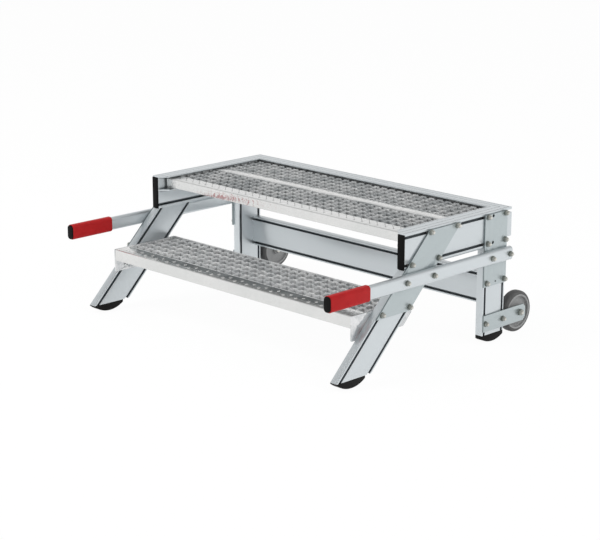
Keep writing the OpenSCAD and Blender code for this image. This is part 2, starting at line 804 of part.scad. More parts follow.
module step_nosing() color(galvanised) place()
    nosing_sheet(step_x, step_y0, step_y0 + step_nosing_l, step_h, step_nosing_h);

module step_grating() color(galvanised) place() grating(step_x, step_y0 + step_nosing_l, step_y1,
    step_mesh, step_mesh, step_h, step_h - bar_h, step_h - bar_h);

module step_end_plate() color(plate_grey) slab_x(step_x, end_plate_t) difference() {
    bottom = step_h - end_plate_h;
    polygon([[step_y0, bottom], [step_y1 - end_plate_cut, bottom], [step_y1, bottom + end_plate_cut],
        [step_y1, step_h], [step_y0, step_h]]);
    bolt_holes(step_bolt_places);
}

module left_step_end_plate() on_left() step_end_plate();
module right_step_end_plate() on_right() step_end_plate();

module step_bolts() color(steel) on_both() for (p = step_bolt_places) difference() {
    union() {
        rod_x(step_x - step_head_h, step_x, step_head_d, p[0], p[1]);
        rod_x(step_x, inner_x + lip_t + t_head_t + over, bolt_d, p[0], p[1]);
    }
    translate([step_x - step_head_h - over, p[0], p[1]]) rotate([0, 90, 0])
        linear_extrude(socket_depth + over) hexagon(socket_af);
}

// Plates in the legs' inner slots take the step's bolts
module step_t_nuts() color(steel) on_both() for (p = step_bolt_places) difference() {
    slot_head(inner_x + lip_t, p, lean);
    rod_x(inner_x, outer_x, bolt_d + 2 * thread_play, p[0], p[1]);
}

// Fasteners of the frame

// The head of a slot bolt, or a slot nut, from x towards +x, turned along its slot
module slot_head(x, p, slope) translate([x, p[0], p[1]]) rotate([slope, 0, 0])
    translate([0, -t_head_l / 2, head_play - cavity_w / 2])
        cube([t_head_t, t_head_l, cavity_w - 2 * head_play]);

module t_bolt(p, x) {
    slot_head(outer_x - lip_t - t_head_t, p, p[2]);
    rod_x(outer_x - lip_t, x + washer_t + nut_h + thread_end, bolt_d, p[0], p[1]);
}

module plate_t_bolts() color(steel) on_both() for (p = plate_bolts) t_bolt(p, plate_x);

module plate_washers() color(steel) on_both() for (p = plate_bolts)
    ring_x(plate_x, washer_t, bolt_d, p[0], p[1]);

module plate_nuts() color(steel) on_both() for (p = plate_bolts)
    nut_x(plate_x + washer_t, bolt_d, p[0], p[1]);

module handle_t_bolts() color(steel) on_both() for (p = handle_bolts) t_bolt(p, handle_x);

module handle_washers() color(steel) on_both() for (p = handle_bolts)
    ring_x(handle_x, washer_t, bolt_d, p[0], p[1]);

module handle_nuts() color(steel) on_both() for (p = handle_bolts)
    nut_x(handle_x + washer_t, bolt_d, p[0], p[1]);

left_side_rail();
right_side_rail();
back_rail();
corner_keys();
left_rail_end_cap();
right_rail_end_cap();
left_front_leg();
right_front_leg();
left_rear_leg();
right_rear_leg();
cross_beam();
beam_tenons();
beam_screws();
left_front_foot();
right_front_foot();
left_rear_foot();
right_rear_foot();
left_front_gusset();
right_front_gusset();
left_rear_gusset();
right_rear_gusset();
left_handle_tube();
right_handle_tube();
left_grip();
right_grip();
left_handle_plug();
right_handle_plug();
left_handle_cap();
right_handle_cap();
left_wheel_bracket();
right_wheel_bracket();
left_tyre();
right_tyre();
left_rim();
right_rim();
left_bush();
right_bush();
left_axle_bolt();
right_axle_bolt();
axle_washers();
axle_nuts();
deck_nosing();
deck_front_grating();
deck_joint_strip();
deck_rear_grating();
deck_screws();
step_nosing();
step_grating();
left_step_end_plate();
right_step_end_plate();
step_bolts();
step_t_nuts();
plate_t_bolts();
plate_washers();
plate_nuts();
handle_t_bolts();
handle_washers();
handle_nuts();
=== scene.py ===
"""Looks of the mobile work platform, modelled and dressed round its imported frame."""

import logging
import math
from dataclasses import dataclass
from enum import Enum
from typing import Callable, Iterable, Sequence

import bmesh
import bpy
from mathutils import Matrix, Vector


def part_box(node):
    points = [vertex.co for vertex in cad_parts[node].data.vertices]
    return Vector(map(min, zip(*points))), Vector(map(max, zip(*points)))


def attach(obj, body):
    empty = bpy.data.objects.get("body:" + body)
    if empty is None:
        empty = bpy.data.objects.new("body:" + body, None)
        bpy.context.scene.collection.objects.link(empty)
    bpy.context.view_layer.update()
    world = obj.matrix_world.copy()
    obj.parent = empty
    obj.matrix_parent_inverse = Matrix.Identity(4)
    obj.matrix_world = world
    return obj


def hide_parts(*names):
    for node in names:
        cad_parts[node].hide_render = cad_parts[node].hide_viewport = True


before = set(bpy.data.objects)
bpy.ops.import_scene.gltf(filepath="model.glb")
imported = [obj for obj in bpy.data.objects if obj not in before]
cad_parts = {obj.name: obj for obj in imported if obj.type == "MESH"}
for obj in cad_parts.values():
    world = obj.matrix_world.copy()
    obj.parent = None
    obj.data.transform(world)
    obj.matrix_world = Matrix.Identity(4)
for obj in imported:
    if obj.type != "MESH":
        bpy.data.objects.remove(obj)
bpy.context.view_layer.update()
LOG = logging.getLogger("work_platform")
MM = 0.001
X, Y, Z = Vector((1, 0, 0)), Vector((0, 1, 0)), Vector((0, 0, 1))
ORIGIN = (0, 0, 0)
ALONG_X = (Y, Z, X)
FLAT = math.radians(0.5)
SHARP = math.radians(35)
# A direction lies along an axis above ALIGNED, and is square to it below SQUARE.
ALIGNED, SQUARE = 0.99, 0.1
# How far from a plane an edge or a corner still counts as on it, and as beside it.
NEAR, CLOSE = 0.1 * MM, 1 * MM
# How near to each other corners count as one, in a finished piece and in a row of copies.
WELD, HAIR = 0.002 * MM, 0.01 * MM
Node, Socket = bpy.types.Node, bpy.types.NodeSocket
Colour = tuple[float, float, float, float]
Test = Callable[[Vector, Vector], bool]


class Slot(Enum):
    """The record's material slots."""

    PROFILE = "profile"
    PLATE = "plate"
    SHEET = "bright_sheet"
    GRATING = "grating"
    FASTENER = "fastener"
    BUSH = "bush"
    BLACK = "black_plastic"
    GREY = "grey_plastic"
    FOOT = "foot_rubber"
    GRIP = "grip_red"
    TYRE = "tyre"
    RIM = "rim"


def srgb(red: int, green: int, blue: int) -> Colour:
    """Turns a colour as seen, 0 to 255, into a shader's linear colour.

    Args:
        red: The red part.
        green: The green part.
        blue: The blue part.

    Returns:
        The linear colour, with an alpha of 1.
    """
    parts = []
    for level in (red, green, blue):
        share = level / 255
        parts.append(share / 12.92 if share <= 0.04045 else ((share + 0.055) / 1.055) ** 2.4)
    return (*parts, 1.0)


class Graph:
    """A node tree that is being built."""

    def __init__(self, tree: bpy.types.NodeTree) -> None:
        """Starts from an empty tree.

        Args:
            tree: The tree to fill.
        """
        self.tree = tree
        tree.nodes.clear()

    def node(self, kind: str, **settings: object) -> Node:
        """Adds a node.

        Args:
            kind: The node's type name, without its ShaderNode prefix.
            **settings: Attributes of the node.

        Returns:
            The new node.
        """
        prefix = "" if kind.startswith("NodeGroup") else "ShaderNode"
        made = self.tree.nodes.new(prefix + kind)
        for name, value in settings.items():
            setattr(made, name, value)
        return made

    def put(self, target: Socket, source: object) -> None:
        """Feeds a socket from another socket, or sets it to a constant.

        Args:
            target: The input socket.
            source: An output socket or a value.
        """
        if isinstance(source, Socket):
            self.tree.links.new(source, target)
        else:
            target.default_value = source

    def maths(self, operation: str, first: object, second: object = 0.0) -> Socket:
        """Adds a Math node.

        Args:
            operation: The operation's name.
            first: The first operand.
            second: The second operand.

        Returns:
            The result's socket.
        """
        made = self.node("Math", operation=operation)
        self.put(made.inputs[0], first)
        self.put(made.inputs[1], second)
        return made.outputs[0]

    def vectors(self, operation: str, first: object, second: object, result: str = "Vector") -> Socket:
        """Adds a Vector Math node.

        Args:
            operation: The operation's name.
            first: The first operand.
            second: The second operand.
            result: The output that is wanted.

        Returns:
            The result's socket.
        """
        made = self.node("VectorMath", operation=operation)
        self.put(made.inputs[0], first)
        self.put(made.inputs[1], second)
        return made.outputs[result]

    def ramp(self, value: object, low: float, high: float, start: float, end: float) -> Socket:
        """Maps a value's range onto another and clamps it.

        Args:
            value: The value's socket.
            low: The value that gives start.
            high: The value that gives end.
            start: The result at low.
            end: The result at high.

        Returns:
            The result's socket.
        """
        made = self.node("MapRange")
        self.fill(made, Value=value, From_Min=low, From_Max=high, To_Min=start, To_Max=end)
        return made.outputs["Result"]

    def noise(self, vector: object, scale: object, detail: float = 3.0) -> Socket:
        """Adds a noise texture.

        Args:
            vector: The coordinates.
            scale: Its scale.
            detail: Its number of octaves.

        Returns:
            The noise's value.
        """
        made = self.fill(self.node("TexNoise"), Vector=vector, Scale=scale, Detail=detail)
        return made.outputs["Fac"]

    def mix(self, factor: object, first: object, second: object, blend: str = "MIX") -> Socket:
        """Mixes two colours.

        Args:
            factor: The share of the second.
            first: The first colour.
            second: The second colour.
            blend: The blend type.

        Returns:
            The mixed colour's socket.
        """
        made = self.node("Mix", data_type="RGBA", blend_type=blend)
        self.put(made.inputs[0], factor)
        self.put(made.inputs[6], first)
        self.put(made.inputs[7], second)
        return made.outputs[2]

    def fill(self, node: Node, **inputs: object) -> Node:
        """Feeds a node's inputs.

        Args:
            node: The node.
            **inputs: Values or sockets by input name, with _ for a space.

        Returns:
            The same node.
        """
        for name, value in inputs.items():
            self.put(node.inputs[name.replace("_", " ")], value)
        return node

    def group(self, tree: bpy.types.NodeTree, **inputs: object) -> bpy.types.bpy_prop_collection:
        """Places a shared node group, feeds its inputs and returns its outputs."""
        return self.fill(self.node("Group", node_tree=tree), **inputs).outputs

    def grey(self, tone: object) -> Socket:
        """Turns a number into a grey colour."""
        return self.fill(self.node("CombineColor"), Red=tone, Green=tone, Blue=tone).outputs["Color"]

    def part(self, vector: Socket, axis: str) -> Socket:
        """Takes a vector's X, Y or Z."""
        return self.fill(self.node("SeparateXYZ"), Vector=vector).outputs[axis]

    def blend(self, share: object, first: Node, second: Node) -> Socket:
        """Mixes two shaders by the share of the second."""
        made = self.node("MixShader")
        for number, source in enumerate((share, first.outputs[0], second.outputs[0])):
            self.put(made.inputs[number], source)
        return made.outputs[0]


class Effects:
    """The shader node groups that the finishes share."""

    FINE_LINES, BROAD_LINES = 900.0, 160.0
    RUNS, RUN_STRETCH = 60.0, (1.6, 1.0, 0.8)
    WEAR, SPECKLES = 140.0, 60.0

    def __init__(self) -> None:
        """Builds every group once."""
        self.drawn_lines = self._drawn_lines()
        self.clouding = self._clouding()
        self.edge_light = self._edge_light()
        self.grain = self._grain()
        self.spangle = self._spangle()
        self.hollow = self._hollow()
        self.materials: dict[str, bpy.types.Material] = {}

    @staticmethod
    def _open(name: str, inputs: dict[str, object], *outputs: str) -> tuple[
            Graph, bpy.types.bpy_prop_collection, Node]:
        """Opens a new group.

        Args:
            name: The group's name.
            inputs: Default value by input name, three numbers for a vector.
            *outputs: Names of its outputs, each a number.

        Returns:
            The group's graph, what it is given and its output node.
        """
        tree = bpy.data.node_groups.new(name, "ShaderNodeTree")
        for label, value in inputs.items():
            kind = "NodeSocketVector" if isinstance(value, tuple) else "NodeSocketFloat"
            tree.interface.new_socket(label, in_out="INPUT", socket_type=kind).default_value = value
        for label in outputs:
            tree.interface.new_socket(label, in_out="OUTPUT", socket_type="NodeSocketFloat")
        graph = Graph(tree)
        return graph, graph.node("NodeGroupInput").outputs, graph.node("NodeGroupOutput")

    def _drawn_lines(self) -> bpy.types.NodeTree:
        """Fine lines that the die leaves along an extruded profile."""
        graph, given, result = self._open(
            "drawn_lines", {"Vector": ORIGIN, "Stretch": (1, 1, 1), "Strength": 0.5}, "Shade", "Height")
        stretched = graph.vectors("MULTIPLY", given["Vector"], given["Stretch"])
        fine, broad = (graph.maths("MULTIPLY", graph.noise(stretched, scale, 2.0), 0.5)
                       for scale in (self.FINE_LINES, self.BROAD_LINES))
        both = graph.maths("ADD", fine, broad)
        shade = graph.maths("MULTIPLY", graph.maths("SUBTRACT", both, 0.5), given["Strength"])
        graph.fill(result, Shade=shade, Height=both)
        return graph.tree

    def _clouding(self) -> bpy.types.NodeTree:
        """Slow changes of tone over a surface."""
        graph, given, result = self._open(
            "clouding", {"Vector": ORIGIN, "Scale": 6.0, "Strength": 0.2}, "Shade", "Mask")
        noise = graph.noise(given["Vector"], given["Scale"], 4.0)
        shade = graph.maths("MULTIPLY", graph.maths("SUBTRACT", noise, 0.5), given["Strength"])
        graph.fill(result, Shade=shade, Mask=graph.ramp(noise, 0.4, 0.6, 0.0, 1.0))
        return graph.tree

    def _edge_light(self) -> bpy.types.NodeTree:
        """A mask along sharp edges, broken up as handling leaves it."""
        graph, given, result = self._open("edge_light", {"Vector": ORIGIN, "Radius": 1.2 * MM}, "Mask")
        rounded = graph.fill(graph.node("Bevel", samples=4), Radius=given["Radius"])
        flat = graph.node("NewGeometry")
        match = graph.vectors("DOT_PRODUCT", rounded.outputs["Normal"], flat.outputs["Normal"], "Value")
        edge = graph.ramp(match, 0.995, 0.85, 0.0, 1.0)
        broken = graph.ramp(graph.noise(given["Vector"], self.WEAR), 0.35, 0.6, 0.2, 1.0)
        graph.fill(result, Mask=graph.maths("MULTIPLY", edge, broken))
        return graph.tree

    def _grain(self) -> bpy.types.NodeTree:
        """The fine grain of moulded plastic and rubber."""
        graph, given, result = self._open("grain", {"Vector": ORIGIN, "Scale": 900.0}, "Height", "Shade")
        cells = graph.fill(graph.node("TexVoronoi", feature="SMOOTH_F1"), Vector=given["Vector"],
                           Scale=given["Scale"])
        fine = graph.noise(given["Vector"], self.SPECKLES)
        graph.fill(result, Height=cells.outputs["Distance"], Shade=graph.maths("SUBTRACT", fine, 0.5))
        return graph.tree

    def _spangle(self) -> bpy.types.NodeTree:
        """The crystals and runs of a zinc coat."""
        graph, given, result = self._open("spangle", {"Vector": ORIGIN, "Scale": 160.0}, "Shade", "Height")
        cells = graph.fill(graph.node("TexVoronoi"), Vector=given["Vector"], Scale=given["Scale"])
        tone = graph.fill(graph.node("SeparateColor"), Color=cells.outputs["Color"])
        runs = graph.vectors("MULTIPLY", given["Vector"], self.RUN_STRETCH)
        graph.fill(result, Shade=graph.maths("SUBTRACT", tone.outputs["Red"], 0.5),
                   Height=graph.noise(runs, self.RUNS))
        return graph.tree

    def _hollow(self) -> bpy.types.NodeTree:
        """A mask of slots, holes and inner corners, where shade is painted in as a darker colour."""
        graph, given, result = self._open("hollow", {"Reach": 10 * MM}, "Mask")
        openness = graph.node("AmbientOcclusion", samples=8, only_local=True)
        graph.put(openness.inputs["Distance"], given["Reach"])
        graph.fill(result, Mask=graph.ramp(openness.outputs["AO"], 0.9, 0.35, 0.0, 1.0))
        return graph.tree


@dataclass(frozen=True)
class Finish:
    """What every finish has: a name and the record's slot that it serves."""

    name: str
    slot: Slot

    def material(self, effects: Effects) -> bpy.types.Material:
        """Builds the material once and returns it.

        Args:
            effects: The shared node groups.

        Returns:
            The material.
        """
        made = effects.materials.get(self.name)
        if made is None:
            made = effects.materials[self.name] = bpy.data.materials.new(self.name)
            made.use_nodes = True
            graph = Graph(made.node_tree)
            shader = graph.node("BsdfPrincipled")
            graph.fill(graph.node("OutputMaterial"), Surface=shader.outputs["BSDF"])
            self.dress(graph, shader, graph.node("TexCoord").outputs["Object"], effects)
        return made

    def dress(self, graph: Graph, shader: Node, place: Socket, effects: Effects) -> None:
        """Fills the shader's sockets.

        Args:
            graph: The material's graph.
            shader: Its Principled shader.
            place: Object coordinates.
            effects: The shared node groups.
        """
        raise NotImplementedError


def shaded(graph: Graph, colour: object, *shades: object) -> Socket:
    """Lightens and darkens a colour by the sum of some shades round 0.

    Args:
        graph: The material's graph.
        colour: The colour, as a value or a socket.
        *shades: Sockets whose values are added to 1 and multiply the colour.

    Returns:
        The shaded colour.
    """
    total: object = 1.0
    for shade in shades:
        total = graph.maths("ADD", total, shade)
    return graph.mix(1.0, colour, graph.grey(total), "MULTIPLY")


def bumped(graph: Graph, shader: Node, height: object, distance: float, strength: float) -> None:
    """Gives a shader a bump.

    Args:
        graph: The material's graph.
        shader: The shader.
        height: The height's socket.
        distance: The bump's depth in metres.
        strength: Its strength.
    """
    bump = graph.fill(graph.node("Bump"), Distance=distance, Strength=strength, Height=height)
    graph.put(shader.inputs["Normal"], bump.outputs["Normal"])


@dataclass(frozen=True)
class DrawnMetal(Finish):
    """Extruded aluminium, satin and a little streaked along its length."""

    colour: Colour
    stretch: tuple[float, float, float]
    lean: float = 0.0
    edge: Colour = srgb(226, 230, 232)
    # The colour below is painted shade, laid into slots, holes and inner corners within reach by the hollow
    # mask.
    painted_shade: Colour = srgb(76, 85, 92)
    reach: float = 12 * MM
    roughness: float = 0.3
    metallic: float = 0.75
    lines: float = 0.06
    clouds: float = 0.06
    patches: float = 5.0
    depth: float = 0.03 * MM
    relief: float = 0.5

    def dress(self, graph: Graph, shader: Node, place: Socket, effects: Effects) -> None:
        """Fills the shader's sockets."""
        along = graph.fill(graph.node("Mapping"), Vector=place, Rotation=(self.lean, 0, 0)).outputs[0]
        lines = graph.group(effects.drawn_lines, Vector=along, Stretch=self.stretch, Strength=self.lines)
        clouds = graph.group(effects.clouding, Vector=place, Scale=self.patches, Strength=self.clouds)
        worn = graph.group(effects.edge_light, Vector=place)
        # Painted shade: an occlusion mask darkens slots and inner corners.
        hollow = graph.group(effects.hollow, Reach=self.reach)
        body = shaded(graph, self.colour, lines["Shade"], clouds["Shade"])
        body = graph.mix(worn["Mask"], body, self.edge)
        rough = graph.maths("ADD", graph.maths("ADD", self.roughness, clouds["Shade"]), lines["Shade"])
        graph.fill(shader, Base_Color=graph.mix(hollow["Mask"], body, self.painted_shade), Metallic=self.metallic,
                   Roughness=rough)
        bumped(graph, shader, lines["Height"], self.depth, self.relief)


@dataclass(frozen=True)
class CutPlate(Finish):
    """Flat plate with a brushed face and edge faces painted darker as shade."""

    colour: Colour
    cut_edge: Colour
    roughness: float = 0.34
    metallic: float = 0.7
    stretch: tuple[float, float, float] = (1, 1, 0.04)
    lines: float = 0.04
    clouds: float = 0.05
    patches: float = 9.0
    depth: float = 0.03 * MM
    relief: float = 0.4

    def dress(self, graph: Graph, shader: Node, place: Socket, effects: Effects) -> None:
        """Fills the shader's sockets."""
        lines = graph.group(effects.drawn_lines, Vector=place, Stretch=self.stretch, Strength=self.lines)
        clouds = graph.group(effects.clouding, Vector=place, Scale=self.patches, Strength=self.clouds)
        # Faces that don't face along X, the plate's edges, are painted darker as shade.
        across = graph.maths("ABSOLUTE", graph.part(graph.node("NewGeometry").outputs["Normal"], "X"))
        on_shaded_edge = graph.ramp(across, 0.35, 0.8, 1.0, 0.0)
        face = shaded(graph, self.colour, lines["Shade"], clouds["Shade"])
        graph.fill(shader, Base_Color=graph.mix(on_shaded_edge, face, self.cut_edge), Metallic=self.metallic,
                   Roughness=graph.maths("ADD", self.roughness, clouds["Shade"]))
        bumped(graph, shader, lines["Height"], self.depth, self.relief)


@dataclass(frozen=True)
class ZincCoat(Finish):
    """Galvanised steel: bright, with crystals, runs and duller patches."""

    colour: Colour
    dull: Colour
    roughness: float = 0.2
    metallic: float = 0.8
    crystals: float = 160.0
    contrast: float = 0.06
    patches: float = 12.0
    clouds: float = 0.1
    waves: float = 0.08 * MM
    # Painted shade: this colour is laid in deep below a top, as in a grating's cells, or else in hollows
    # within reach.
    painted_shade_colour: Colour = srgb(58, 62, 64)
    reach: float = 3 * MM
    painted_shade: float = 0.75
    top: float = 0.0
    fade: tuple[float, float] = (15 * MM, 1 * MM)

    def dress(self, graph: Graph, shader: Node, place: Socket, effects: Effects) -> None:
        """Fills the shader's sockets; shade is painted in below a top, or else in hollows."""
        spangle = graph.group(effects.spangle, Vector=place, Scale=self.crystals)
        clouds = graph.group(effects.clouding, Vector=place, Scale=self.patches, Strength=self.clouds)
        toned = graph.mix(clouds["Mask"], self.colour, self.dull)
        tone = graph.maths("MULTIPLY", spangle["Shade"], self.contrast)
        if self.top:
            deep, shallow = (self.top - depth for depth in self.fade)
            mask = graph.ramp(graph.part(place, "Z"), deep, shallow, 1, 0)
        else:
            mask = graph.group(effects.hollow, Reach=self.reach)["Mask"]
        body = graph.mix(graph.maths("MULTIPLY", mask, self.painted_shade), shaded(graph, toned, tone), self.painted_shade_colour)
        graph.fill(shader, Base_Color=body, Metallic=self.metallic,
                   Roughness=graph.maths("ADD", self.roughness, clouds["Shade"]))
        bumped(graph, shader, spangle["Height"], self.waves, 1.0)


@dataclass(frozen=True)
class Moulded(Finish):
    """Moulded plastic or rubber with a fine grain."""

    colour: Colour
    scuffed: Colour
    roughness: float
    specular: float = 0.22
    grain: float = 1100.0
    depth: float = 0.08 * MM
    clouds: float = 0.14
    patches: float = 30.0
    speckle: float = 0.25
    wear: float = 0.4
    relief: float = 0.5

    def dress(self, graph: Graph, shader: Node, place: Socket, effects: Effects) -> None:
        """Fills the shader's sockets."""
        grain = graph.group(effects.grain, Vector=place, Scale=self.grain)
        clouds = graph.group(effects.clouding, Vector=place, Scale=self.patches, Strength=self.clouds)
        worn = graph.maths("MULTIPLY", graph.group(effects.edge_light, Vector=place)["Mask"], self.wear)
        speckle = graph.maths("MULTIPLY", grain["Shade"], self.speckle)
        body = graph.mix(worn, shaded(graph, self.colour, speckle, clouds["Shade"]), self.scuffed)
        graph.fill(shader, Base_Color=body, Specular_IOR_Level=self.specular,
                   Roughness=graph.maths("ADD", self.roughness, clouds["Shade"]))
        bumped(graph, shader, grain["Height"], self.depth, self.relief)


class Finishes:
    """Every finish of the platform."""

    RAIL = DrawnMetal("drawn_aluminium_rail", Slot.PROFILE, srgb(206, 212, 215), (1, 0.01, 1))
    CROSSWAYS = DrawnMetal("drawn_aluminium_crossways", Slot.PROFILE, srgb(203, 209, 212), (0.01, 1, 1))
    UPRIGHT = DrawnMetal("drawn_aluminium_upright", Slot.PROFILE, srgb(206, 212, 215), (1, 1, 0.01))
    LEANING = DrawnMetal("drawn_aluminium_leaning", Slot.PROFILE, srgb(206, 212, 215), (1, 1, 0.01),
                         math.radians(45))
    TUBE = DrawnMetal("drawn_aluminium_tube", Slot.PROFILE, srgb(208, 214, 217), (1, 0.01, 1))
    # Brushed plate; the second colour is the painted shade on its edge faces.
    PLATE = CutPlate("brushed_plate", Slot.PLATE, srgb(182, 191, 193), srgb(130, 140, 142))
    # The zinc finishes paint shade into their hollows; the gratings are painted darker with depth below
    # their tops.
    END_PLATE = ZincCoat("zinc_end_plate", Slot.PLATE, srgb(224, 225, 226), srgb(190, 193, 195), 0.08,
                         patches=26.0, waves=0.6 * MM)
    SHEET = ZincCoat("zinc_sheet", Slot.SHEET, srgb(221, 221, 220), srgb(215, 216, 215), 0.14, contrast=0.03,
                     patches=5.0, waves=1.4 * MM, painted_shade=1.0)
    TREAD = ZincCoat("tread_strip", Slot.SHEET, srgb(122, 126, 127), srgb(96, 100, 101), 0.4, metallic=0.3,
                     contrast=0.2)
    GRATING = ZincCoat("zinc_grating", Slot.GRATING, srgb(206, 207, 207), srgb(172, 175, 176), 0.42, 0.2,
                       260.0, 0.2, 20.0, top=384 * MM, painted_shade=0.8)
    STEP_GRATING = ZincCoat("zinc_step_grating", Slot.GRATING, srgb(226, 227, 227), srgb(198, 200, 201),
                            0.42, 0.2, 260.0, 0.2, 20.0, top=191 * MM, painted_shade=0.5)
    # Washers, nuts and bolts are one zinc-plated steel: the washers are painted darker as shade, the nuts
    # and bolts lighter as painted highlight.
    SHADED_WASHER = ZincCoat("zinc_washer", Slot.FASTENER, srgb(140, 145, 140), srgb(112, 118, 113), 0.34, 0.7,
                      700.0, 0.2)
    LIT_NUT = ZincCoat("zinc_nut_painted_highlight", Slot.FASTENER, srgb(176, 177, 171), srgb(146, 149, 143), 0.34, 0.7, 700.0,
                   0.2)
    LIT_BOLT = ZincCoat("zinc_bolt_painted_highlight", Slot.FASTENER, srgb(222, 220, 213), srgb(196, 195, 188), 0.28, 0.7, 700.0,
                    0.2)
    STEP_BOLT = ZincCoat("zinc_step_bolt", Slot.FASTENER, srgb(222, 224, 224), srgb(200, 203, 203), 0.2, 0.7)
    STEEL = ZincCoat("zinc_steel", Slot.FASTENER, srgb(176, 178, 172), srgb(150, 153, 148), 0.3, 0.7)
    BUSH = ZincCoat("turned_bush", Slot.BUSH, srgb(190, 190, 184), srgb(170, 170, 165), 0.25)
    BLACK = Moulded("moulded_black", Slot.BLACK, srgb(15, 15, 15), srgb(48, 49, 49), 0.45, 0.07)
    GREY = Moulded("moulded_grey", Slot.GREY, srgb(170, 176, 178), srgb(190, 194, 195), 0.4)
    FOOT = Moulded("moulded_foot", Slot.FOOT, srgb(18, 18, 18), srgb(52, 52, 51), 0.55, 0.12, 700.0,
                   0.15 * MM)
    GRIP = Moulded("red_grip", Slot.GRIP, srgb(166, 32, 34), srgb(180, 54, 52), 0.4, 0.1, 900.0, 0.1 * MM)
    TYRE = Moulded("tyre_rubber", Slot.TYRE, srgb(84, 84, 84), srgb(120, 120, 118), 0.5, grain=600.0,
                   depth=0.12 * MM)
    RIM = Moulded("rim_plastic", Slot.RIM, srgb(146, 147, 147), srgb(176, 176, 175), 0.38)


@dataclass
class Studio:
    """The floor, the light and the camera."""

    camera_place: tuple[float, float, float] = (3.6027, -3.5848, 1.5646)
    camera_pitch: float = math.pi / 2 - 0.26913
    camera_turn: float = 0.78839
    lens: float = 105.0
    sensor: float = 36.0
    floor_size: float = 60.0
    floor_tone: float = 0.92
    white_share: float = 0.96
    sky: tuple[float, float, float, float] = (0.1, 0.7, 0.97, 0.5)
    aim: tuple[float, float, float] = (0, 0, 0.2)
    lamp_size: float = 3.0
    key: tuple[float, float, float] = (-2.2, -3.0, 4.2)
    key_power: float = 170.0
    fill: tuple[float, float, float] = (4.0, 1.2, 3.0)
    fill_power: float = 80.0

    def build(self) -> None:
        """Makes all of it."""
        self.camera()
        self.world()
        self.floor()
        self.lamp("key", self.key, self.key_power)
        self.lamp("fill", self.fill, self.fill_power)
        bpy.context.scene.view_settings.view_transform = "Standard"

    def camera(self) -> None:
        """The camera at the photograph's angle."""
        data = bpy.data.cameras.new("camera")
        data.lens = self.lens
        data.sensor_width = self.sensor
        seen = bpy.data.objects.new("camera", data)
        seen.location = self.camera_place
        seen.rotation_euler = (self.camera_pitch, 0, self.camera_turn)
        bpy.context.scene.collection.objects.link(seen)
        bpy.context.scene.camera = seen

    def world(self) -> None:
        """A white surround that is a little darker overhead, and plain white to the camera."""
        world = bpy.data.worlds.new("surround")
        world.use_nodes = True
        graph = Graph(world.node_tree)
        tone = graph.ramp(graph.part(graph.node("TexCoord").outputs["Generated"], "Z"), *self.sky)
        light = graph.fill(graph.node("Background"), Color=graph.grey(tone))
        shown = graph.fill(graph.node("Background"), Color=(1, 1, 1, 1))
        seen = graph.node("LightPath").outputs["Is Camera Ray"]
        graph.fill(graph.node("OutputWorld"), Surface=graph.blend(seen, light, shown))
        bpy.context.scene.world = world

    def floor(self) -> None:
        """A pale floor that reads as white and keeps a faint shadow."""
        bpy.ops.mesh.primitive_plane_add(size=self.floor_size)
        floor = bpy.context.object
        floor.name = "floor"
        material = bpy.data.materials.new("pale_floor")
        material.use_nodes = True
        graph = Graph(material.node_tree)
        matt = graph.fill(graph.node("BsdfDiffuse"), Color=(*[self.floor_tone] * 3, 1))
        white = graph.fill(graph.node("Emission"), Color=(1, 1, 1, 1))
        path = graph.node("LightPath").outputs
        seen = graph.maths("MAXIMUM", path["Is Camera Ray"], path["Is Glossy Ray"])
        seen = graph.maths("MAXIMUM", seen, path["Is Transmission Ray"])
        mixed = graph.blend(graph.maths("MULTIPLY", seen, self.white_share), matt, white)
        graph.fill(graph.node("OutputMaterial"), Surface=mixed)
        floor.data.materials.append(material)

    def lamp(self, name: str, place: Sequence[float], power: float) -> None:
        """Hangs a broad round lamp that aims at the platform.

        Args:
            name: The lamp's name.
            place: Where it hangs.
            power: Its power in watts.
        """
        data = bpy.data.lights.new(name, "AREA")
        data.shape = "DISK"
        data.size = self.lamp_size
        data.energy = power
        lamp = bpy.data.objects.new(name, data)
        lamp.location = place
        lamp.visible_glossy = False
        lamp.rotation_euler = (Vector(self.aim) - Vector(place)).to_track_quat("-Z", "Y").to_euler()
        bpy.context.scene.collection.objects.link(lamp)


def lies(way: Vector, axis: Vector) -> bool:
    """Tells whether a direction lies along an axis, either way."""
    return abs(way.dot(axis)) > ALIGNED


def crosses(way: Vector, axis: Vector) -> bool:
    """Tells whether a direction is square to an axis."""
    return abs(way.dot(axis)) < SQUARE


def clear_bench() -> None:
    """Leaves edit mode and deselects everything."""
    active = bpy.context.view_layer.objects.active
    if active is not None and active.mode != "OBJECT":
        bpy.ops.object.mode_set(mode="OBJECT")
    bpy.ops.object.select_all(action="DESELECT")


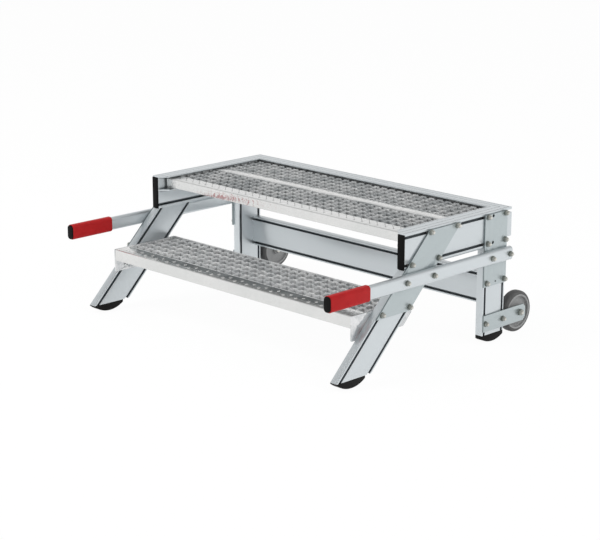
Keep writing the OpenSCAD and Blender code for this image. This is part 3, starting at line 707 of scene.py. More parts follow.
class Workpiece:
    """A mesh on the bench, shaped in edit mode, in the platform's own frame."""

    def __init__(self, name: str, start: str, place: Sequence[float] = (0, 0, 0),
                 scale: Sequence[float] = (1, 1, 1), axes: Sequence[Vector] = (X, Y, Z),
                 **size: object) -> None:
        """Adds the primitive that the piece starts from.

        Args:
            name: The piece's name.
            start: The primitive, as its operator names it.
            place: Its middle.
            scale: Its scale.
            axes: The directions that its own X, Y and Z axes take.
            **size: The primitive's own settings.
        """
        clear_bench()
        getattr(bpy.ops.mesh, f"primitive_{start}_add")(**size)
        self.object = bpy.context.object
        self.object.name = self.object.data.name = name
        turn = Matrix(axes).transposed().to_quaternion()
        self.object.matrix_world = Matrix.LocRotScale(Vector(place), turn, Vector(scale))
        bpy.ops.object.transform_apply(location=True, rotation=True, scale=True)
        bpy.ops.object.mode_set(mode="EDIT")
        self.pick_all()

    @classmethod
    def round_bar(cls, name: str, diameter: float, length: float, place: Sequence[float] = ORIGIN,
                  axes: Sequence[Vector] = ALONG_X, sides: int = 32) -> "Workpiece":
        """Starts a piece from a round or many-sided bar.

        Args:
            name: The piece's name.
            diameter: Its diameter over the corners.
            length: Its length.
            place: Its middle.
            axes: Its directions, the last one its length.
            sides: How many sides it has.

        Returns:
            The bar.
        """
        return cls(name, "cylinder", place, axes=axes, vertices=sides, radius=diameter / 2, depth=length)

    @classmethod
    def copy_of(cls, source: bpy.types.Object, name: str) -> "Workpiece":
        """Puts a copy of a finished piece on the bench.

        Args:
            source: The piece to copy.
            name: The copy's name.

        Returns:
            The copy, with its own mesh.
        """
        clear_bench()
        piece = cls.__new__(cls)
        piece.object = bpy.data.objects.new(name, source.data.copy())
        piece.object.data.name = name
        bpy.context.scene.collection.objects.link(piece.object)
        piece.take_up()
        bpy.ops.object.mode_set(mode="EDIT")
        piece.pick_all()
        return piece

    def take_up(self) -> None:
        """Makes this piece the only one selected, in object mode."""
        clear_bench()
        self.object.select_set(True)
        bpy.context.view_layer.objects.active = self.object

    def pick_all(self) -> None:
        """Selects the whole piece."""
        bpy.ops.mesh.select_all(action="SELECT")

    def select(self, kind: str, test: Callable[[object], bool]) -> int:
        """Selects the elements that pass a test, and nothing else.

        Args:
            kind: FACE, EDGE or VERT.
            test: Tells whether an element is wanted.

        Returns:
            How many were selected.
        """
        bpy.ops.mesh.select_mode(type=kind)
        bpy.ops.mesh.select_all(action="DESELECT")
        mesh = bmesh.from_edit_mesh(self.object.data)
        mesh.normal_update()
        elements = {"FACE": mesh.faces, "EDGE": mesh.edges, "VERT": mesh.verts}[kind]
        wanted = [item for item in elements if test(item)]
        for item in wanted:
            item.select_set(True)
        mesh.select_flush_mode()
        bmesh.update_edit_mesh(self.object.data)
        return len(wanted)

    def pick(self, kind: str, test: Test, least: int = 1) -> None:
        """Selects faces, edges or corners by their place and direction.

        Args:
            kind: FACE, EDGE or VERT.
            test: Takes the element's middle and its normal, or an edge's direction.
            least: How many have to be found.
        """
        def passes(item: object) -> bool:
            """Tests one element."""
            if kind == "FACE":
                return test(item.calc_center_median(), item.normal)
            if kind == "EDGE":
                first, second = (corner.co for corner in item.verts)
                return test((first + second) / 2, (second - first).normalized())
            return test(item.co, item.normal)

        found = self.select(kind, passes)
        if found < least:
            raise ValueError(f"{self.object.name}: {found} of at least {least} {kind.lower()}s found")

    def pick_sharp(self, keep: Test = lambda middle, way: True) -> None:
        """Selects the sharp outer edges.

        Args:
            keep: Takes an edge's middle and direction and tells whether it is wanted.
        """
        def passes(edge: bmesh.types.BMEdge) -> bool:
            """Tests one edge."""
            if not edge.is_manifold or not edge.is_convex or edge.calc_face_angle(0.0) < SHARP:
                return False
            first, second = (corner.co for corner in edge.verts)
            return keep((first + second) / 2, (second - first).normalized())

        self.select("EDGE", passes)

    def extrude(self, offset: Sequence[float]) -> None:
        """Extrudes what is selected by an offset."""
        bpy.ops.mesh.extrude_region_move(TRANSFORM_OT_translate={"value": offset})

    def inset(self, width: float, depth: float = 0.0) -> None:
        """Insets the selected faces."""
        bpy.ops.mesh.inset(thickness=width, depth=depth)

    def bevel(self, width: float, segments: int = 2, affect: str = "EDGES") -> None:
        """Bevels the selected edges or corners."""
        bpy.ops.mesh.bevel(offset=width, segments=segments, affect=affect, clamp_overlap=True)

    def move(self, offset: Sequence[float]) -> None:
        """Moves what is selected."""
        bpy.ops.transform.translate(value=offset)

    def stretch(self, factors: Sequence[float], middle: Sequence[float] = (0, 0, 0)) -> None:
        """Scales what is selected about a point."""
        bpy.ops.transform.resize(value=factors, center_override=middle)

    def remove(self, what: str = "FACE") -> None:
        """Deletes what is selected."""
        bpy.ops.mesh.delete(type=what)

    def cut(self, place: Sequence[float], normal: Sequence[float]) -> None:
        """Cuts the faces along a plane and keeps both sides."""
        self.pick_all()
        bpy.ops.mesh.bisect(plane_co=place, plane_no=normal)

    def trim(self, place: Sequence[float], normal: Sequence[float]) -> None:
        """Cuts the piece off where a plane's normal points, and closes the cut."""
        self.pick_all()
        bpy.ops.mesh.bisect(plane_co=place, plane_no=normal, use_fill=True, clear_outer=True)

    def tidy(self) -> None:
        """Merges doubles, joins level faces and turns all faces outwards."""
        self.pick_all()
        bpy.ops.mesh.remove_doubles(threshold=WELD)
        self.pick_all()
        bpy.ops.mesh.dissolve_limited(angle_limit=FLAT)
        self.pick_all()
        bpy.ops.mesh.normals_make_consistent(inside=False)

    def round_edges(self, width: float, segments: int = 2, keep: Test = lambda middle, way: True) -> None:
        """Rounds the sharp outer edges that a test keeps."""
        self.pick_sharp(keep)
        self.bevel(width, segments)

    def turn_round(self, middle: Sequence[float], steps: int) -> None:
        """Turns a flat outline into a round body about an axle along X."""
        self.select("EDGE", lambda edge: len(edge.link_faces) == 2)
        self.remove("EDGE_FACE")
        self.pick_all()
        self.remove("ONLY_FACE")
        self.pick_all()
        bpy.ops.mesh.spin(steps=steps, angle=math.tau, center=middle, axis=(1, 0, 0))
        self.tidy()

    def spread(self, places: Sequence[Vector]) -> None:
        """Moves the piece to the first place and copies it to the others."""
        self.pick_all()
        here = Vector((0, 0, 0))
        for number, place in enumerate(places):
            if number == 0:
                self.move(place)
            else:
                bpy.ops.mesh.duplicate_move(TRANSFORM_OT_translate={"value": place - here})
            here = place

    def modify(self, kind: str, **settings: object) -> None:
        """Adds a modifier and applies it.

        Args:
            kind: The modifier's type.
            **settings: Its settings.
        """
        self.take_up()
        modifier = self.object.modifiers.new(kind.lower(), kind)
        for name, value in settings.items():
            setattr(modifier, name, value)
        bpy.ops.object.modifier_apply(modifier=modifier.name)
        bpy.ops.object.mode_set(mode="EDIT")

    def repeat(self, count: int, step: Sequence[float], **joined: object) -> None:
        """Repeats the piece along a step."""
        self.modify("ARRAY", count=count, use_relative_offset=False, use_constant_offset=True,
                    constant_offset_displace=step, **joined)

    def combine(self, tool: "Workpiece", how: str = "UNION") -> None:
        """Joins another workpiece on, cuts it away or keeps what both hold, and uses it up.

        Args:
            tool: The other workpiece.
            how: UNION, DIFFERENCE or INTERSECT.
        """
        self.modify("BOOLEAN", operation=how, solver="EXACT", object=tool.object)
        bpy.data.objects.remove(tool.object)

    def absorb(self, other: "Workpiece") -> None:
        """Takes another workpiece in as a separate shell of this one."""
        self.take_up()
        other.object.select_set(True)
        bpy.ops.object.join()
        bpy.ops.object.mode_set(mode="EDIT")

    def drill(self, places: Sequence[Vector], diameter: float, length: float,
              axes: Sequence[Vector] = ALONG_X) -> None:
        """Drills round holes.

        Args:
            places: Their middles.
            diameter: Their diameter.
            length: How long the drill is, round each middle.
            axes: The drill's directions, along X as a rule.
        """
        tool = Workpiece.round_bar("drill", diameter, length, axes=axes)
        tool.spread(places)
        self.combine(tool, "DIFFERENCE")

    def flip(self) -> None:
        """Mirrors the piece to the other side of the platform."""
        self.pick_all()
        self.stretch((-1, 1, 1))
        self.pick_all()
        bpy.ops.mesh.normals_make_consistent(inside=False)

    def done(self, look: Finish, effects: Effects, body: str, *replaced: str) -> bpy.types.Object:
        """Finishes the piece: smooth faces, its material, its body and the nodes that it stands for.

        Args:
            look: Its finish.
            effects: The shared node groups.
            body: The body that it rides on.
            *replaced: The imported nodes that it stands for.

        Returns:
            The finished object.
        """
        self.take_up()
        bpy.ops.object.shade_smooth_by_angle(angle=SHARP)
        self.object.data.materials.clear()
        self.object.data.materials.append(look.material(effects))
        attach(self.object, body)
        if replaced:
            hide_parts(*replaced)
        LOG.info("%s: %d faces on %s", self.object.name, len(self.object.data.polygons), body)
        clear_bench()
        return self.object

    def done_both(self, look: Finish, effects: Effects, body: str, *replaced: str) -> None:
        """Finishes a right-hand piece and its mirrored twin.

        Args:
            look: Their finish.
            effects: The shared node groups.
            body: The right-hand piece's body.
            *replaced: The right-hand nodes that it stands for.
        """
        right = self.done(look, effects, body, *replaced)
        names = [name.replace("right_", "left_") for name in (right.name, body, *replaced)]
        twin = Workpiece.copy_of(right, names[0])
        twin.flip()
        twin.done(look, effects, *names[1:])


def draw_out(name: str, corner: Vector, across: Vector, up: Vector, size: tuple[float, float],
             cuts: Iterable[float], rows: Iterable[float], metal: Callable[[float, float], bool],
             way: Vector, stretch: float = 1.0) -> Workpiece:
    """Lays a section flat, cuts its hollows out and draws it out to its length.

    Args:
        name: The piece's name.
        corner: The section's lowest corner.
        across: The direction of its width.
        up: The direction of its height.
        size: Its width and height.
        cuts: Where lines cross its width.
        rows: Where lines cross its height.
        metal: Tells of a point, by width and height, whether metal is there.
        way: The direction and length that it is drawn out by.
        stretch: How much longer the section's height is because it is cut at a slant.

    Returns:
        The drawn piece, closed, with its faces outwards.
    """
    width, height = size[0], size[1] * stretch
    middle = corner + across * width / 2 + up * height / 2
    piece = Workpiece(name, "plane", middle, (width, height, 1), (across, up, across.cross(up)), size=1)
    for place in cuts:
        piece.cut(corner + across * place, across)
    for place in rows:
        piece.cut(corner + up * place * stretch, up)
    piece.pick("FACE", lambda spot, _: not metal((spot - corner).dot(across),
                                                 (spot - corner).dot(up) / stretch), least=0)
    piece.remove()
    piece.pick_all()
    piece.extrude(way)
    piece.tidy()
    return piece


def block(name: str, low: Sequence[float], high: Sequence[float]) -> Workpiece:
    """Starts a piece from a block between two corners."""
    low, high = Vector(low), Vector(high)
    return Workpiece(name, "cube", (low + high) / 2, high - low, size=1)


def solids(node: str) -> list[tuple[Vector, Vector]]:
    """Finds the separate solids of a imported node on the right-hand side.

    Args:
        node: The node's name.

    Returns:
        Each solid's lowest and highest corner.
    """
    mesh = bmesh.new()
    mesh.from_mesh(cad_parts[node].data)
    bmesh.ops.remove_doubles(mesh, verts=mesh.verts, dist=WELD / 2)
    found, left = [], set(mesh.verts)
    while left:
        near, group = [left.pop()], []
        while near:
            vert = near.pop()
            group.append(vert.co.copy())
            for edge in vert.link_edges:
                other = edge.other_vert(vert)
                if other in left:
                    left.remove(other)
                    near.append(other)
        low = Vector([min(place[axis] for place in group) for axis in range(3)])
        high = Vector([max(place[axis] for place in group) for axis in range(3)])
        if low.x > 0:
            found.append((low, high))
    mesh.free()
    return sorted(found, key=lambda pair: tuple(round(value, 5) for value in (*pair[0], *pair[1])))


def by_size(node: str) -> dict[tuple[float, float, float], list[Vector]]:
    """Groups a node's right-hand solids by size, each as its middle."""
    groups: dict[tuple[float, float, float], list[Vector]] = {}
    for low, high in solids(node):
        groups.setdefault(tuple(round(value, 4) for value in high - low), []).append((low + high) / 2)
    return groups


def middles(node: str) -> list[Vector]:
    """Middles of a node's right-hand solids."""
    return [(low + high) / 2 for low, high in solids(node)]


@dataclass(frozen=True)
class SlottedProfile:
    """Section of the legs and the beam, with two slots on each wide face."""

    thin: float = 25 * MM
    wide: float = 96 * MM
    pitch: float = 79 * MM
    mouth: float = 8 * MM
    cavity: float = 12 * MM
    lip: float = 2.5 * MM
    depth: float = 10.5 * MM
    wall: float = 2.5 * MM
    rounding: float = 0.7 * MM
    play: float = 0.2 * MM

    def slot(self, deep: float, along: float) -> bool:
        """Tells whether a point is in a slot: so deep below the face, so far beside the slot's middle."""
        half = (self.mouth if deep < self.lip else self.cavity) / 2
        return deep < self.depth and abs(along) < half

    def slot_lines(self, middle: float) -> list[float]:
        """The four lines that bound a slot's mouth and cavity."""
        return [middle + side * width / 2 for side in (-1, 1) for width in (self.mouth, self.cavity)]

    @property
    def chamber(self) -> tuple[float, float]:
        """Where a hollow chamber begins and ends, from the section's middle."""
        return self.wall / 2, self.pitch / 2 - self.cavity / 2 - self.wall

    @property
    def inside(self) -> tuple[float, float]:
        """Where a plug in a chamber begins and ends, across the thin side."""
        return self.wall + self.play, self.thin - self.wall - self.play

    def metal(self, deep: float, along: float) -> bool:
        """Tells whether metal is at a point, from a wide face and from the section's lower edge."""
        near, off = min(deep, self.thin - deep), abs(along - self.wide / 2)
        hollow = near > self.wall and self.chamber[0] < off < self.chamber[1]
        return not hollow and not self.slot(near, off - self.pitch / 2)

    def draw(self, name: str, corner: Vector, across: Vector, up: Vector, way: Vector,
             stretch: float = 1.0) -> Workpiece:
        """Draws a length of the profile.

        Args:
            name: The piece's name.
            corner: The section's lowest corner.
            across: The direction of its thin side.
            up: The direction of its wide side.
            way: The direction and length that it is drawn out by.
            stretch: How much longer the wide side is, cut at a slant.

        Returns:
            The profile, with its edges rounded.
        """
        columns = [self.lip, self.depth, self.thin - self.depth, self.thin - self.lip]
        rows = [line for side in (-1, 1) for line in self.slot_lines(self.wide / 2 + side * self.pitch / 2)]
        rows += [self.wide / 2 + side * end for side in (-1, 1) for end in self.chamber]
        piece = draw_out(name, corner, across, up, (self.thin, self.wide), columns, rows, self.metal, way,
                         stretch)
        along = way.normalized()
        piece.round_edges(self.rounding, 2, lambda _, direction: lies(direction, along))
        return piece

    def spigots(self, stretch: float = 1.0) -> list[tuple[float, float]]:
        """Where the plugs of the two chambers lie along the wide side, from its lower edge."""
        first, last = self.chamber
        middle = self.wide / 2
        ends = [(middle - last, middle - first), (middle + first, middle + last)]
        return [((low + self.play) * stretch, (high - self.play) * stretch) for low, high in ends]


@dataclass
class Assembly:
    """What every sub-assembly has: the shared node groups."""

    effects: Effects

    def one(self, piece: Workpiece, look: Finish, *nodes: str) -> None:
        """Finishes a piece that rides on the frame."""
        piece.done(look, self.effects, "frame", *nodes)

    def both(self, piece: Workpiece, look: Finish, node: str, body: str = "frame") -> None:
        """Finishes a right-hand piece and its mirrored twin."""
        piece.done_both(look, self.effects, body, node)


@dataclass
class Frame(Assembly):
    """Legs, cross beam and feet."""

    profile: SlottedProfile = SlottedProfile()
    lean: float = math.radians(45)
    sole: float = 92 * MM
    sole_edge: float = 1.0 * MM
    front_foot: float = 112 * MM
    front_sole: float = 59 * MM
    spigot: float = 20 * MM
    lap: float = 1 * MM

    def build(self) -> None:
        """Makes all of it."""
        self.front_legs()
        self.rear_legs()
        self.beam()
        self.feet()

    def front_legs(self) -> None:
        """The leaning legs, cut level at both ends."""
        low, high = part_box("right_front_leg")
        rise = high.z - low.z
        shift = rise / math.tan(self.lean)
        stretch = (high.y - low.y - shift) / self.profile.wide
        leg = self.profile.draw("right_front_leg_profile", low, X, Y, Vector((0, shift, rise)), stretch)
        self.both(leg, Finishes.LEANING, "right_front_leg")

    def rear_legs(self) -> None:
        """The upright legs."""
        low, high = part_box("right_rear_leg")
        leg = self.profile.draw("right_rear_leg_profile", low, X, Y, Z * (high.z - low.z))
        self.both(leg, Finishes.UPRIGHT, "right_rear_leg")

    def beam(self) -> None:
        """The beam between the rear legs."""
        low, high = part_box("cross_beam")
        beam = self.profile.draw("cross_beam_profile", low, Y, Z, X * (high.x - low.x))
        self.one(beam, Finishes.CROSSWAYS, "cross_beam")

    def foot(self, name: str, leg: str, length: float, lowest: float, lean: Vector, stretch: float) -> None:
        """A foot with a curved sole, and its spigots in the leg's chambers.

        Args:
            name: The piece's name.
            leg: The leg's node.
            length: The foot's length.
            lowest: How far behind the leg's front edge the sole is lowest.
            lean: The spigots' direction and length.
            stretch: How much longer the leg's section is, cut at a slant.
        """
        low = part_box(leg)[0]
        middle = Vector((low.x + self.profile.thin / 2, low.y + lowest, self.sole))
        foot = Workpiece.round_bar(name, 2 * self.sole, self.profile.thin, middle, sides=96)
        for place, way in ((low, Z), (low, -Y), (low + Y * length, Y)):
            foot.trim(place, way)
        foot.tidy()
        foot.round_edges(self.sole_edge, 2, lambda spot, _: spot.z < low.z - NEAR)
        near, far = self.profile.inside
        for first, last in self.profile.spigots(stretch):
            last = min(last, length - self.profile.wall)
            plug = block("spigot", low + Vector((near, first, -self.lap)), low + Vector((far, last, 0)))
            plug.pick("FACE", lambda _, normal: normal.z > ALIGNED)
            plug.extrude(lean)
            foot.combine(plug)
        foot.tidy()
        self.both(foot, Finishes.FOOT, name.removesuffix("_pad"))

    def feet(self) -> None:
        """The four feet."""
        wide, slant = self.profile.wide, 1 / math.sin(self.lean)
        up = Vector((0, self.spigot / math.tan(self.lean), self.spigot))
        self.foot("right_rear_foot_pad", "right_rear_leg", wide, wide / 2, Z * self.spigot, 1.0)
        self.foot("right_front_foot_pad", "right_front_leg", self.front_foot, self.front_sole, up, slant)


@dataclass
class Rim(Assembly):
    """Side rails, back rail and the side rails' end caps."""

    profile: SlottedProfile = SlottedProfile()
    flange: float = 50 * MM
    flange_thick: float = 4 * MM
    ledge_thick: float = 4 * MM
    ledge_drop: float = 42 * MM
    slot_drop: float = 11.5 * MM
    grooves: tuple[float, ...] = (6 * MM, 25 * MM, 44 * MM)
    groove: float = 1.2 * MM
    groove_depth: float = 0.8 * MM
    cap: float = 2.5 * MM
    cap_corner: float = 4 * MM
    cap_edge: float = 0.6 * MM
    spigot: float = 20 * MM

    def build(self) -> None:
        """Makes all of it."""
        self.side_rails()
        self.back_rail()
        self.end_caps()

    @property
    def slot_drops(self) -> tuple[float, float]:
        """Depths of the slots' middles below the rim."""
        return self.slot_drop, self.slot_drop + self.profile.pitch

    def chambers(self, height: float) -> list[tuple[float, float]]:
        """The two hollow chambers of a rail of some height, each as its depths below the rim."""
        half = self.profile.cavity / 2 + self.profile.wall
        tall = height > self.slot_drops[1]
        lower_end = self.slot_drops[1] - half if tall else height - self.profile.wall
        return [(self.slot_drop + half, self.ledge_drop), (self.ledge_drop + self.ledge_thick, lower_end)]

    def metal(self, height: float, side: float, level: float) -> bool:
        """Tells whether metal is at a point of a rail's section.

        Args:
            height: The rail's height.
            side: The point's distance from the flange's inner edge.
            level: Its height above the rail's lower edge.

        Returns:
            Whether metal is there.
        """
        profile = self.profile
        deep, drop = self.flange - side, height - level
        web = deep < profile.thin
        flange = drop < self.flange_thick
        ledge = self.ledge_drop < drop < self.ledge_drop + self.ledge_thick
        if not (web or flange or ledge):
            return False
        if drop < self.groove_depth and any(abs(deep - groove) < self.groove / 2 for groove in self.grooves):
            return False
        upper, lower = (drop - slot for slot in self.slot_drops)
        if web and (profile.slot(deep, upper) or profile.slot(deep, lower)
                    or profile.slot(profile.thin - deep, lower)):
            return False
        hollow = profile.wall < deep < profile.thin - profile.wall
        return not (hollow and any(low < drop < high for low, high in self.chambers(height)))

    def draw(self, name: str, corner: Vector, across: Vector, height: float, way: Vector) -> Workpiece:
        """Draws a length of the rim's profile.

        Args:
            name: The piece's name.
            corner: The section's lowest corner, at the flange's inner edge.
            across: The direction from there to the outer face.
            height: The rail's height.
            way: The direction and length that it is drawn out by.

        Returns:
            The rail, with square edges.
        """
        profile = self.profile
        deep = [profile.wall, profile.depth, profile.thin - profile.depth, profile.thin - profile.wall,
                profile.thin]
        deep += [groove + half * self.groove / 2 for groove in self.grooves for half in (-1, 1)]
        drops = [self.groove_depth, self.flange_thick, self.ledge_drop, self.ledge_drop + self.ledge_thick]
        drops += [line for slot in self.slot_drops for line in profile.slot_lines(slot)]
        drops += [end for chamber in self.chambers(height) for end in chamber]
        return draw_out(name, corner, across, Z, (self.flange, height),
                        [self.flange - line for line in deep],
                        [height - line for line in drops if line < height],
                        lambda side, level: self.metal(height, side, level), way)

    def round_along(self, rail: Workpiece, way: Vector, across: Vector, high: Vector) -> None:
        """Rounds a rail's long edges, but not those of its fine grooves.

        Args:
            rail: The rail.
            way: The direction of its length.
            across: The direction from its inner edge to its outer face.
            high: Its highest outer corner.
        """
        rail.tidy()
        level = high.z - self.groove_depth - NEAR

        def wanted(spot: Vector, direction: Vector) -> bool:
            """Keeps long edges that no groove is made of."""
            side = (high - spot).dot(across)
            return lies(direction, way) and (spot.z < level or not CLOSE <= side <= self.flange - CLOSE)

        rail.round_edges(self.profile.rounding, 2, wanted)

    def side_rails(self) -> None:
        """The side rails, mitred at the back, with their flanges cut off at the front."""
        low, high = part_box("right_side_rail")
        back_low, back_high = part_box("back_rail")
        seat = back_high.y - self.profile.thin
        rail = self.draw("right_side_rail_profile", low, X, high.z - low.z, Y * (seat - low.y))
        rail.cut(back_low, Z)
        rail.pick("FACE", lambda spot, normal: normal.y > ALIGNED and spot.z > back_low.z
                  and spot.y > seat - CLOSE)
        rail.extrude(Y * self.profile.thin)
        rail.trim(high, Y - X)
        rail.trim((high.x - self.profile.thin, low.y - 2 * HAIR, 0), -X - Y)
        self.round_along(rail, Y, X, high)
        self.both(rail, Finishes.RAIL, "right_side_rail")

    def back_rail(self) -> None:
        """The back rail, mitred at both ends."""
        low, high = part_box("back_rail")
        rail = self.draw("back_rail_profile", low, Y, high.z - low.z, X * (high.x - low.x))
        rail.trim(high, X - Y)
        rail.trim((low.x, high.y, 0), -X - Y)
        self.round_along(rail, X, Y, high)
        self.one(rail, Finishes.CROSSWAYS, "back_rail")

    def end_caps(self) -> None:
        """The caps on the side rails' front ends, with spigots in the chambers."""
        low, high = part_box("right_rail_end_cap")
        rail_low, rail_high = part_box("right_side_rail")
        height = rail_high.z - rail_low.z
        play = self.profile.play
        hollows = [(height - far + play, height - near - play) for near, far in self.chambers(height)]
        near, far = self.profile.inside
        cap = block("right_rail_end_cap_cover", low, (high.x, low.y + self.cap, high.z))
        for place in (near, far):
            cap.cut(low + X * place, X)
        for place in (end for pair in hollows for end in pair):
            cap.cut(low + Z * place, Z)
        cap.pick("FACE", lambda spot, normal: normal.y > ALIGNED and near < spot.x - low.x < far
                 and any(first < spot.z - low.z < last for first, last in hollows))
        cap.extrude(Y * self.spigot)
        cap.tidy()
        cap.pick("EDGE", lambda spot, way: lies(way, Y) and spot.z < low.z + NEAR)
        cap.bevel(self.cap_corner, 5)
        cap.round_edges(self.cap_edge, 2, lambda spot, _: spot.y < low.y + NEAR)
        self.both(cap, Finishes.BLACK, "right_rail_end_cap")


def bolts_in(node: str, low: Vector, high: Vector) -> list[Vector]:
    """Middles of a node's right-hand solids that lie, seen from the side, within a plate."""
    return [spot for spot in middles(node) if low.y < spot.y < high.y and low.z < spot.z < high.z]


@dataclass
class Plates(Assembly):
    """Gussets, wheel brackets and the step's end plates."""

    hole: float = 9 * MM
    axle_hole: float = 10.6 * MM
    tooling: float = 5 * MM
    spare: float = 23.5 * MM
    bracket_corner: float = 10 * MM
    end_plate_corner: float = 33 * MM
    rounding: float = 0.5 * MM

    def build(self) -> None:
        """Makes all of them."""
        self.front_gusset()
        self.rear_gusset()
        self.wheel_bracket()
        self.end_plate()

    def finish(self, plate: Workpiece, holes: Sequence[Vector], node: str, look: Finish) -> None:
        """Drills a plate, rounds its edges and finishes it on both sides.

        Args:
            plate: The plate.
            holes: The bolt holes' places.
            node: The node that it stands for.
            look: Its finish.
        """
        low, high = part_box(node)
        middle = (low.x + high.x) / 2
        plate.drill([Vector((middle, spot.y, spot.z)) for spot in holes], self.hole, 4 * (high.x - low.x))
        plate.round_edges(self.rounding)
        self.both(plate, look, node)

    def front_gusset(self) -> None:
        """The gusset that leans with the front leg."""
        low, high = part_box("right_front_gusset")
        plate = block("right_front_gusset_plate", low, high)
        plate.trim(low, (0, -1, 1))
        plate.trim(high, (0, 1, -1))
        holes = bolts_in("plate_washers", low, high) + bolts_in("handle_washers", low, high)
        self.finish(plate, holes, "right_front_gusset", Finishes.PLATE)

    def rear_gusset(self) -> None:
        """The upright gusset, with two spare holes and a small tooling hole."""
        low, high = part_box("right_rear_gusset")
        plate = block("right_rear_gusset_plate", low, high)
        bolts = bolts_in("plate_washers", low, high)
        lowest, front = min(spot.z for spot in bolts), min(spot.y for spot in bolts)
        foot = [spot for spot in bolts if spot.z < lowest + CLOSE]
        plate.drill([(foot[0] + foot[1]) / 2], self.tooling, 8 * (high.x - low.x))
        spare = [spot + Y * self.spare for spot in bolts
                 if spot.y < front + CLOSE and spot.z > lowest + CLOSE]
        holes = bolts + spare + bolts_in("handle_washers", low, high)
        self.finish(plate, holes, "right_rear_gusset", Finishes.PLATE)

    def wheel_bracket(self) -> None:
        """The bracket that carries the wheel's axle, with cut rear corners."""
        low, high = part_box("right_wheel_bracket")
        plate = block("right_wheel_bracket_plate", low, high)
        plate.pick("EDGE", lambda spot, way: lies(way, X) and spot.y > high.y - CLOSE, 2)
        plate.bevel(self.bracket_corner, 1)
        plate.drill([middles("right_axle_bolt")[0]], self.axle_hole, 20 * (high.x - low.x))
        self.finish(plate, bolts_in("plate_washers", low, high), "right_wheel_bracket", Finishes.PLATE)

    def end_plate(self) -> None:
        """The step's end plate, with its rear lower corner cut off."""
        low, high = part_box("right_step_end_plate")
        plate = block("right_step_end_sheet", low, high)
        plate.pick("EDGE", lambda spot, way: lies(way, X) and spot.y > high.y - CLOSE
                   and spot.z < low.z + CLOSE)
        plate.bevel(self.end_plate_corner, 1)
        self.finish(plate, bolts_in("step_bolts", low, high), "right_step_end_plate", Finishes.END_PLATE)


@dataclass
class Handles(Assembly):
    """Handle tubes, grips, front plugs and rear caps."""

    corner: float = 8.5 * MM
    wall: float = 2 * MM
    hole: float = 9 * MM
    grip_wall: float = 2.95 * MM
    grip_corner: float = 10 * MM
    grip_edge: float = 1.6 * MM
    plug: float = 4 * MM
    plug_ring: float = 3.7 * MM
    cap: float = 3 * MM
    cap_ring: float = 2.2 * MM
    head_edge: float = 1.2 * MM
    arc: int = 8

    def build(self) -> None:
        """Makes all of them."""
        self.tube()
        self.grip()
        self.front_plug()
        self.rear_cap()

    def bar(self, name: str, low: Vector, high: Vector, corner: float) -> Workpiece:
        """A bar along Y with rounded long edges."""
        piece = block(name, low, high)
        piece.pick("EDGE", lambda _, way: lies(way, Y), 4)
        piece.bevel(corner, self.arc)
        return piece

    def sleeve(self, name: str, node: str, corner: float, wall: float) -> Workpiece:
        """A hollow bar with the size of a node.

        Args:
            name: The piece's name.
            node: The node.
            corner: Radius of its long edges.
            wall: Thickness of its wall.

        Returns:
            The sleeve, open at both ends.
        """
        piece = self.bar(name, *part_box(node), corner)
        piece.pick("FACE", lambda _, normal: lies(normal, Y), 2)
        piece.remove()
        piece.modify("SOLIDIFY", thickness=wall, offset=-1.0)
        return piece

    def tube(self) -> None:
        """The handle tube, drilled for its four bolts."""
        low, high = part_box("right_handle_tube")
        tube = self.sleeve("right_handle_bar", "right_handle_tube", self.corner, self.wall)
        middle = (low.x + high.x) / 2
        holes = [Vector((middle, spot.y, spot.z)) for spot in bolts_in("handle_washers", low, high)]
        tube.drill(holes, self.hole, 3 * (high.x - low.x))
        self.both(tube, Finishes.TUBE, "right_handle_tube")

    def grip(self) -> None:
        """The grip sleeve, with rounded ends."""
        low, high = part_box("right_grip")
        grip = self.sleeve("right_grip_sleeve", "right_grip", self.grip_corner, self.grip_wall)
        edge, corner = 0.6 * self.grip_wall, self.grip_corner

        def wanted(spot: Vector, way: Vector) -> bool:
            """Keeps the ends' edges on the sleeve's outside."""
            outside = min(spot.x - low.x, high.x - spot.x, spot.z - low.z, high.z - spot.z) < edge
            in_corner = not (low.x + corner < spot.x < high.x - corner
                             or low.z + corner < spot.z < high.z - corner)
            return crosses(way, Y) and (outside or in_corner)

        grip.round_edges(self.grip_edge, 4, wanted)
        self.both(grip, Finishes.GRIP, "right_grip")

    def stopper(self, name: str, node: str, front: bool, head: float, corner: float,
                ring: float) -> Workpiece:
        """A plug with a head outside the tube and a spigot inside it.

        Args:
            name: The piece's name.
            node: The node that it stands for.
            front: Whether it closes the front end.
            head: Thickness of its head.
            corner: Radius of the head's corners.
            ring: How far the head stands past the spigot.

        Returns:
            The plug.
        """
        low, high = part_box(node)
        seat = low.y + head if front else high.y - head
        outside = (low, Vector((high.x, seat, high.z))) if front else (Vector((low.x, seat, low.z)), high)
        piece = self.bar(name, *outside, corner)
        inward = 1 if front else -1
        piece.pick("FACE", lambda _, normal: normal.y * inward > ALIGNED)
        piece.inset(ring)
        piece.extrude(Y * ((high.y if front else low.y) - seat))
        outer = low.y if front else high.y
        piece.round_edges(self.head_edge, 4,
                          lambda spot, way: crosses(way, Y) and abs(spot.y - outer) < NEAR)
        return piece

    def front_plug(self) -> None:
        """The black plug in the tube's front end."""
        plug = self.stopper("right_handle_stopper", "right_handle_plug", True, self.plug, self.grip_corner,
                            self.plug_ring)
        self.both(plug, Finishes.BLACK, "right_handle_plug")

    def rear_cap(self) -> None:
        """The grey cap on the tube's rear end."""
        cap = self.stopper("right_handle_end", "right_handle_cap", False, self.cap, self.corner,
                           self.cap_ring)
        self.both(cap, Finishes.GREY, "right_handle_cap")


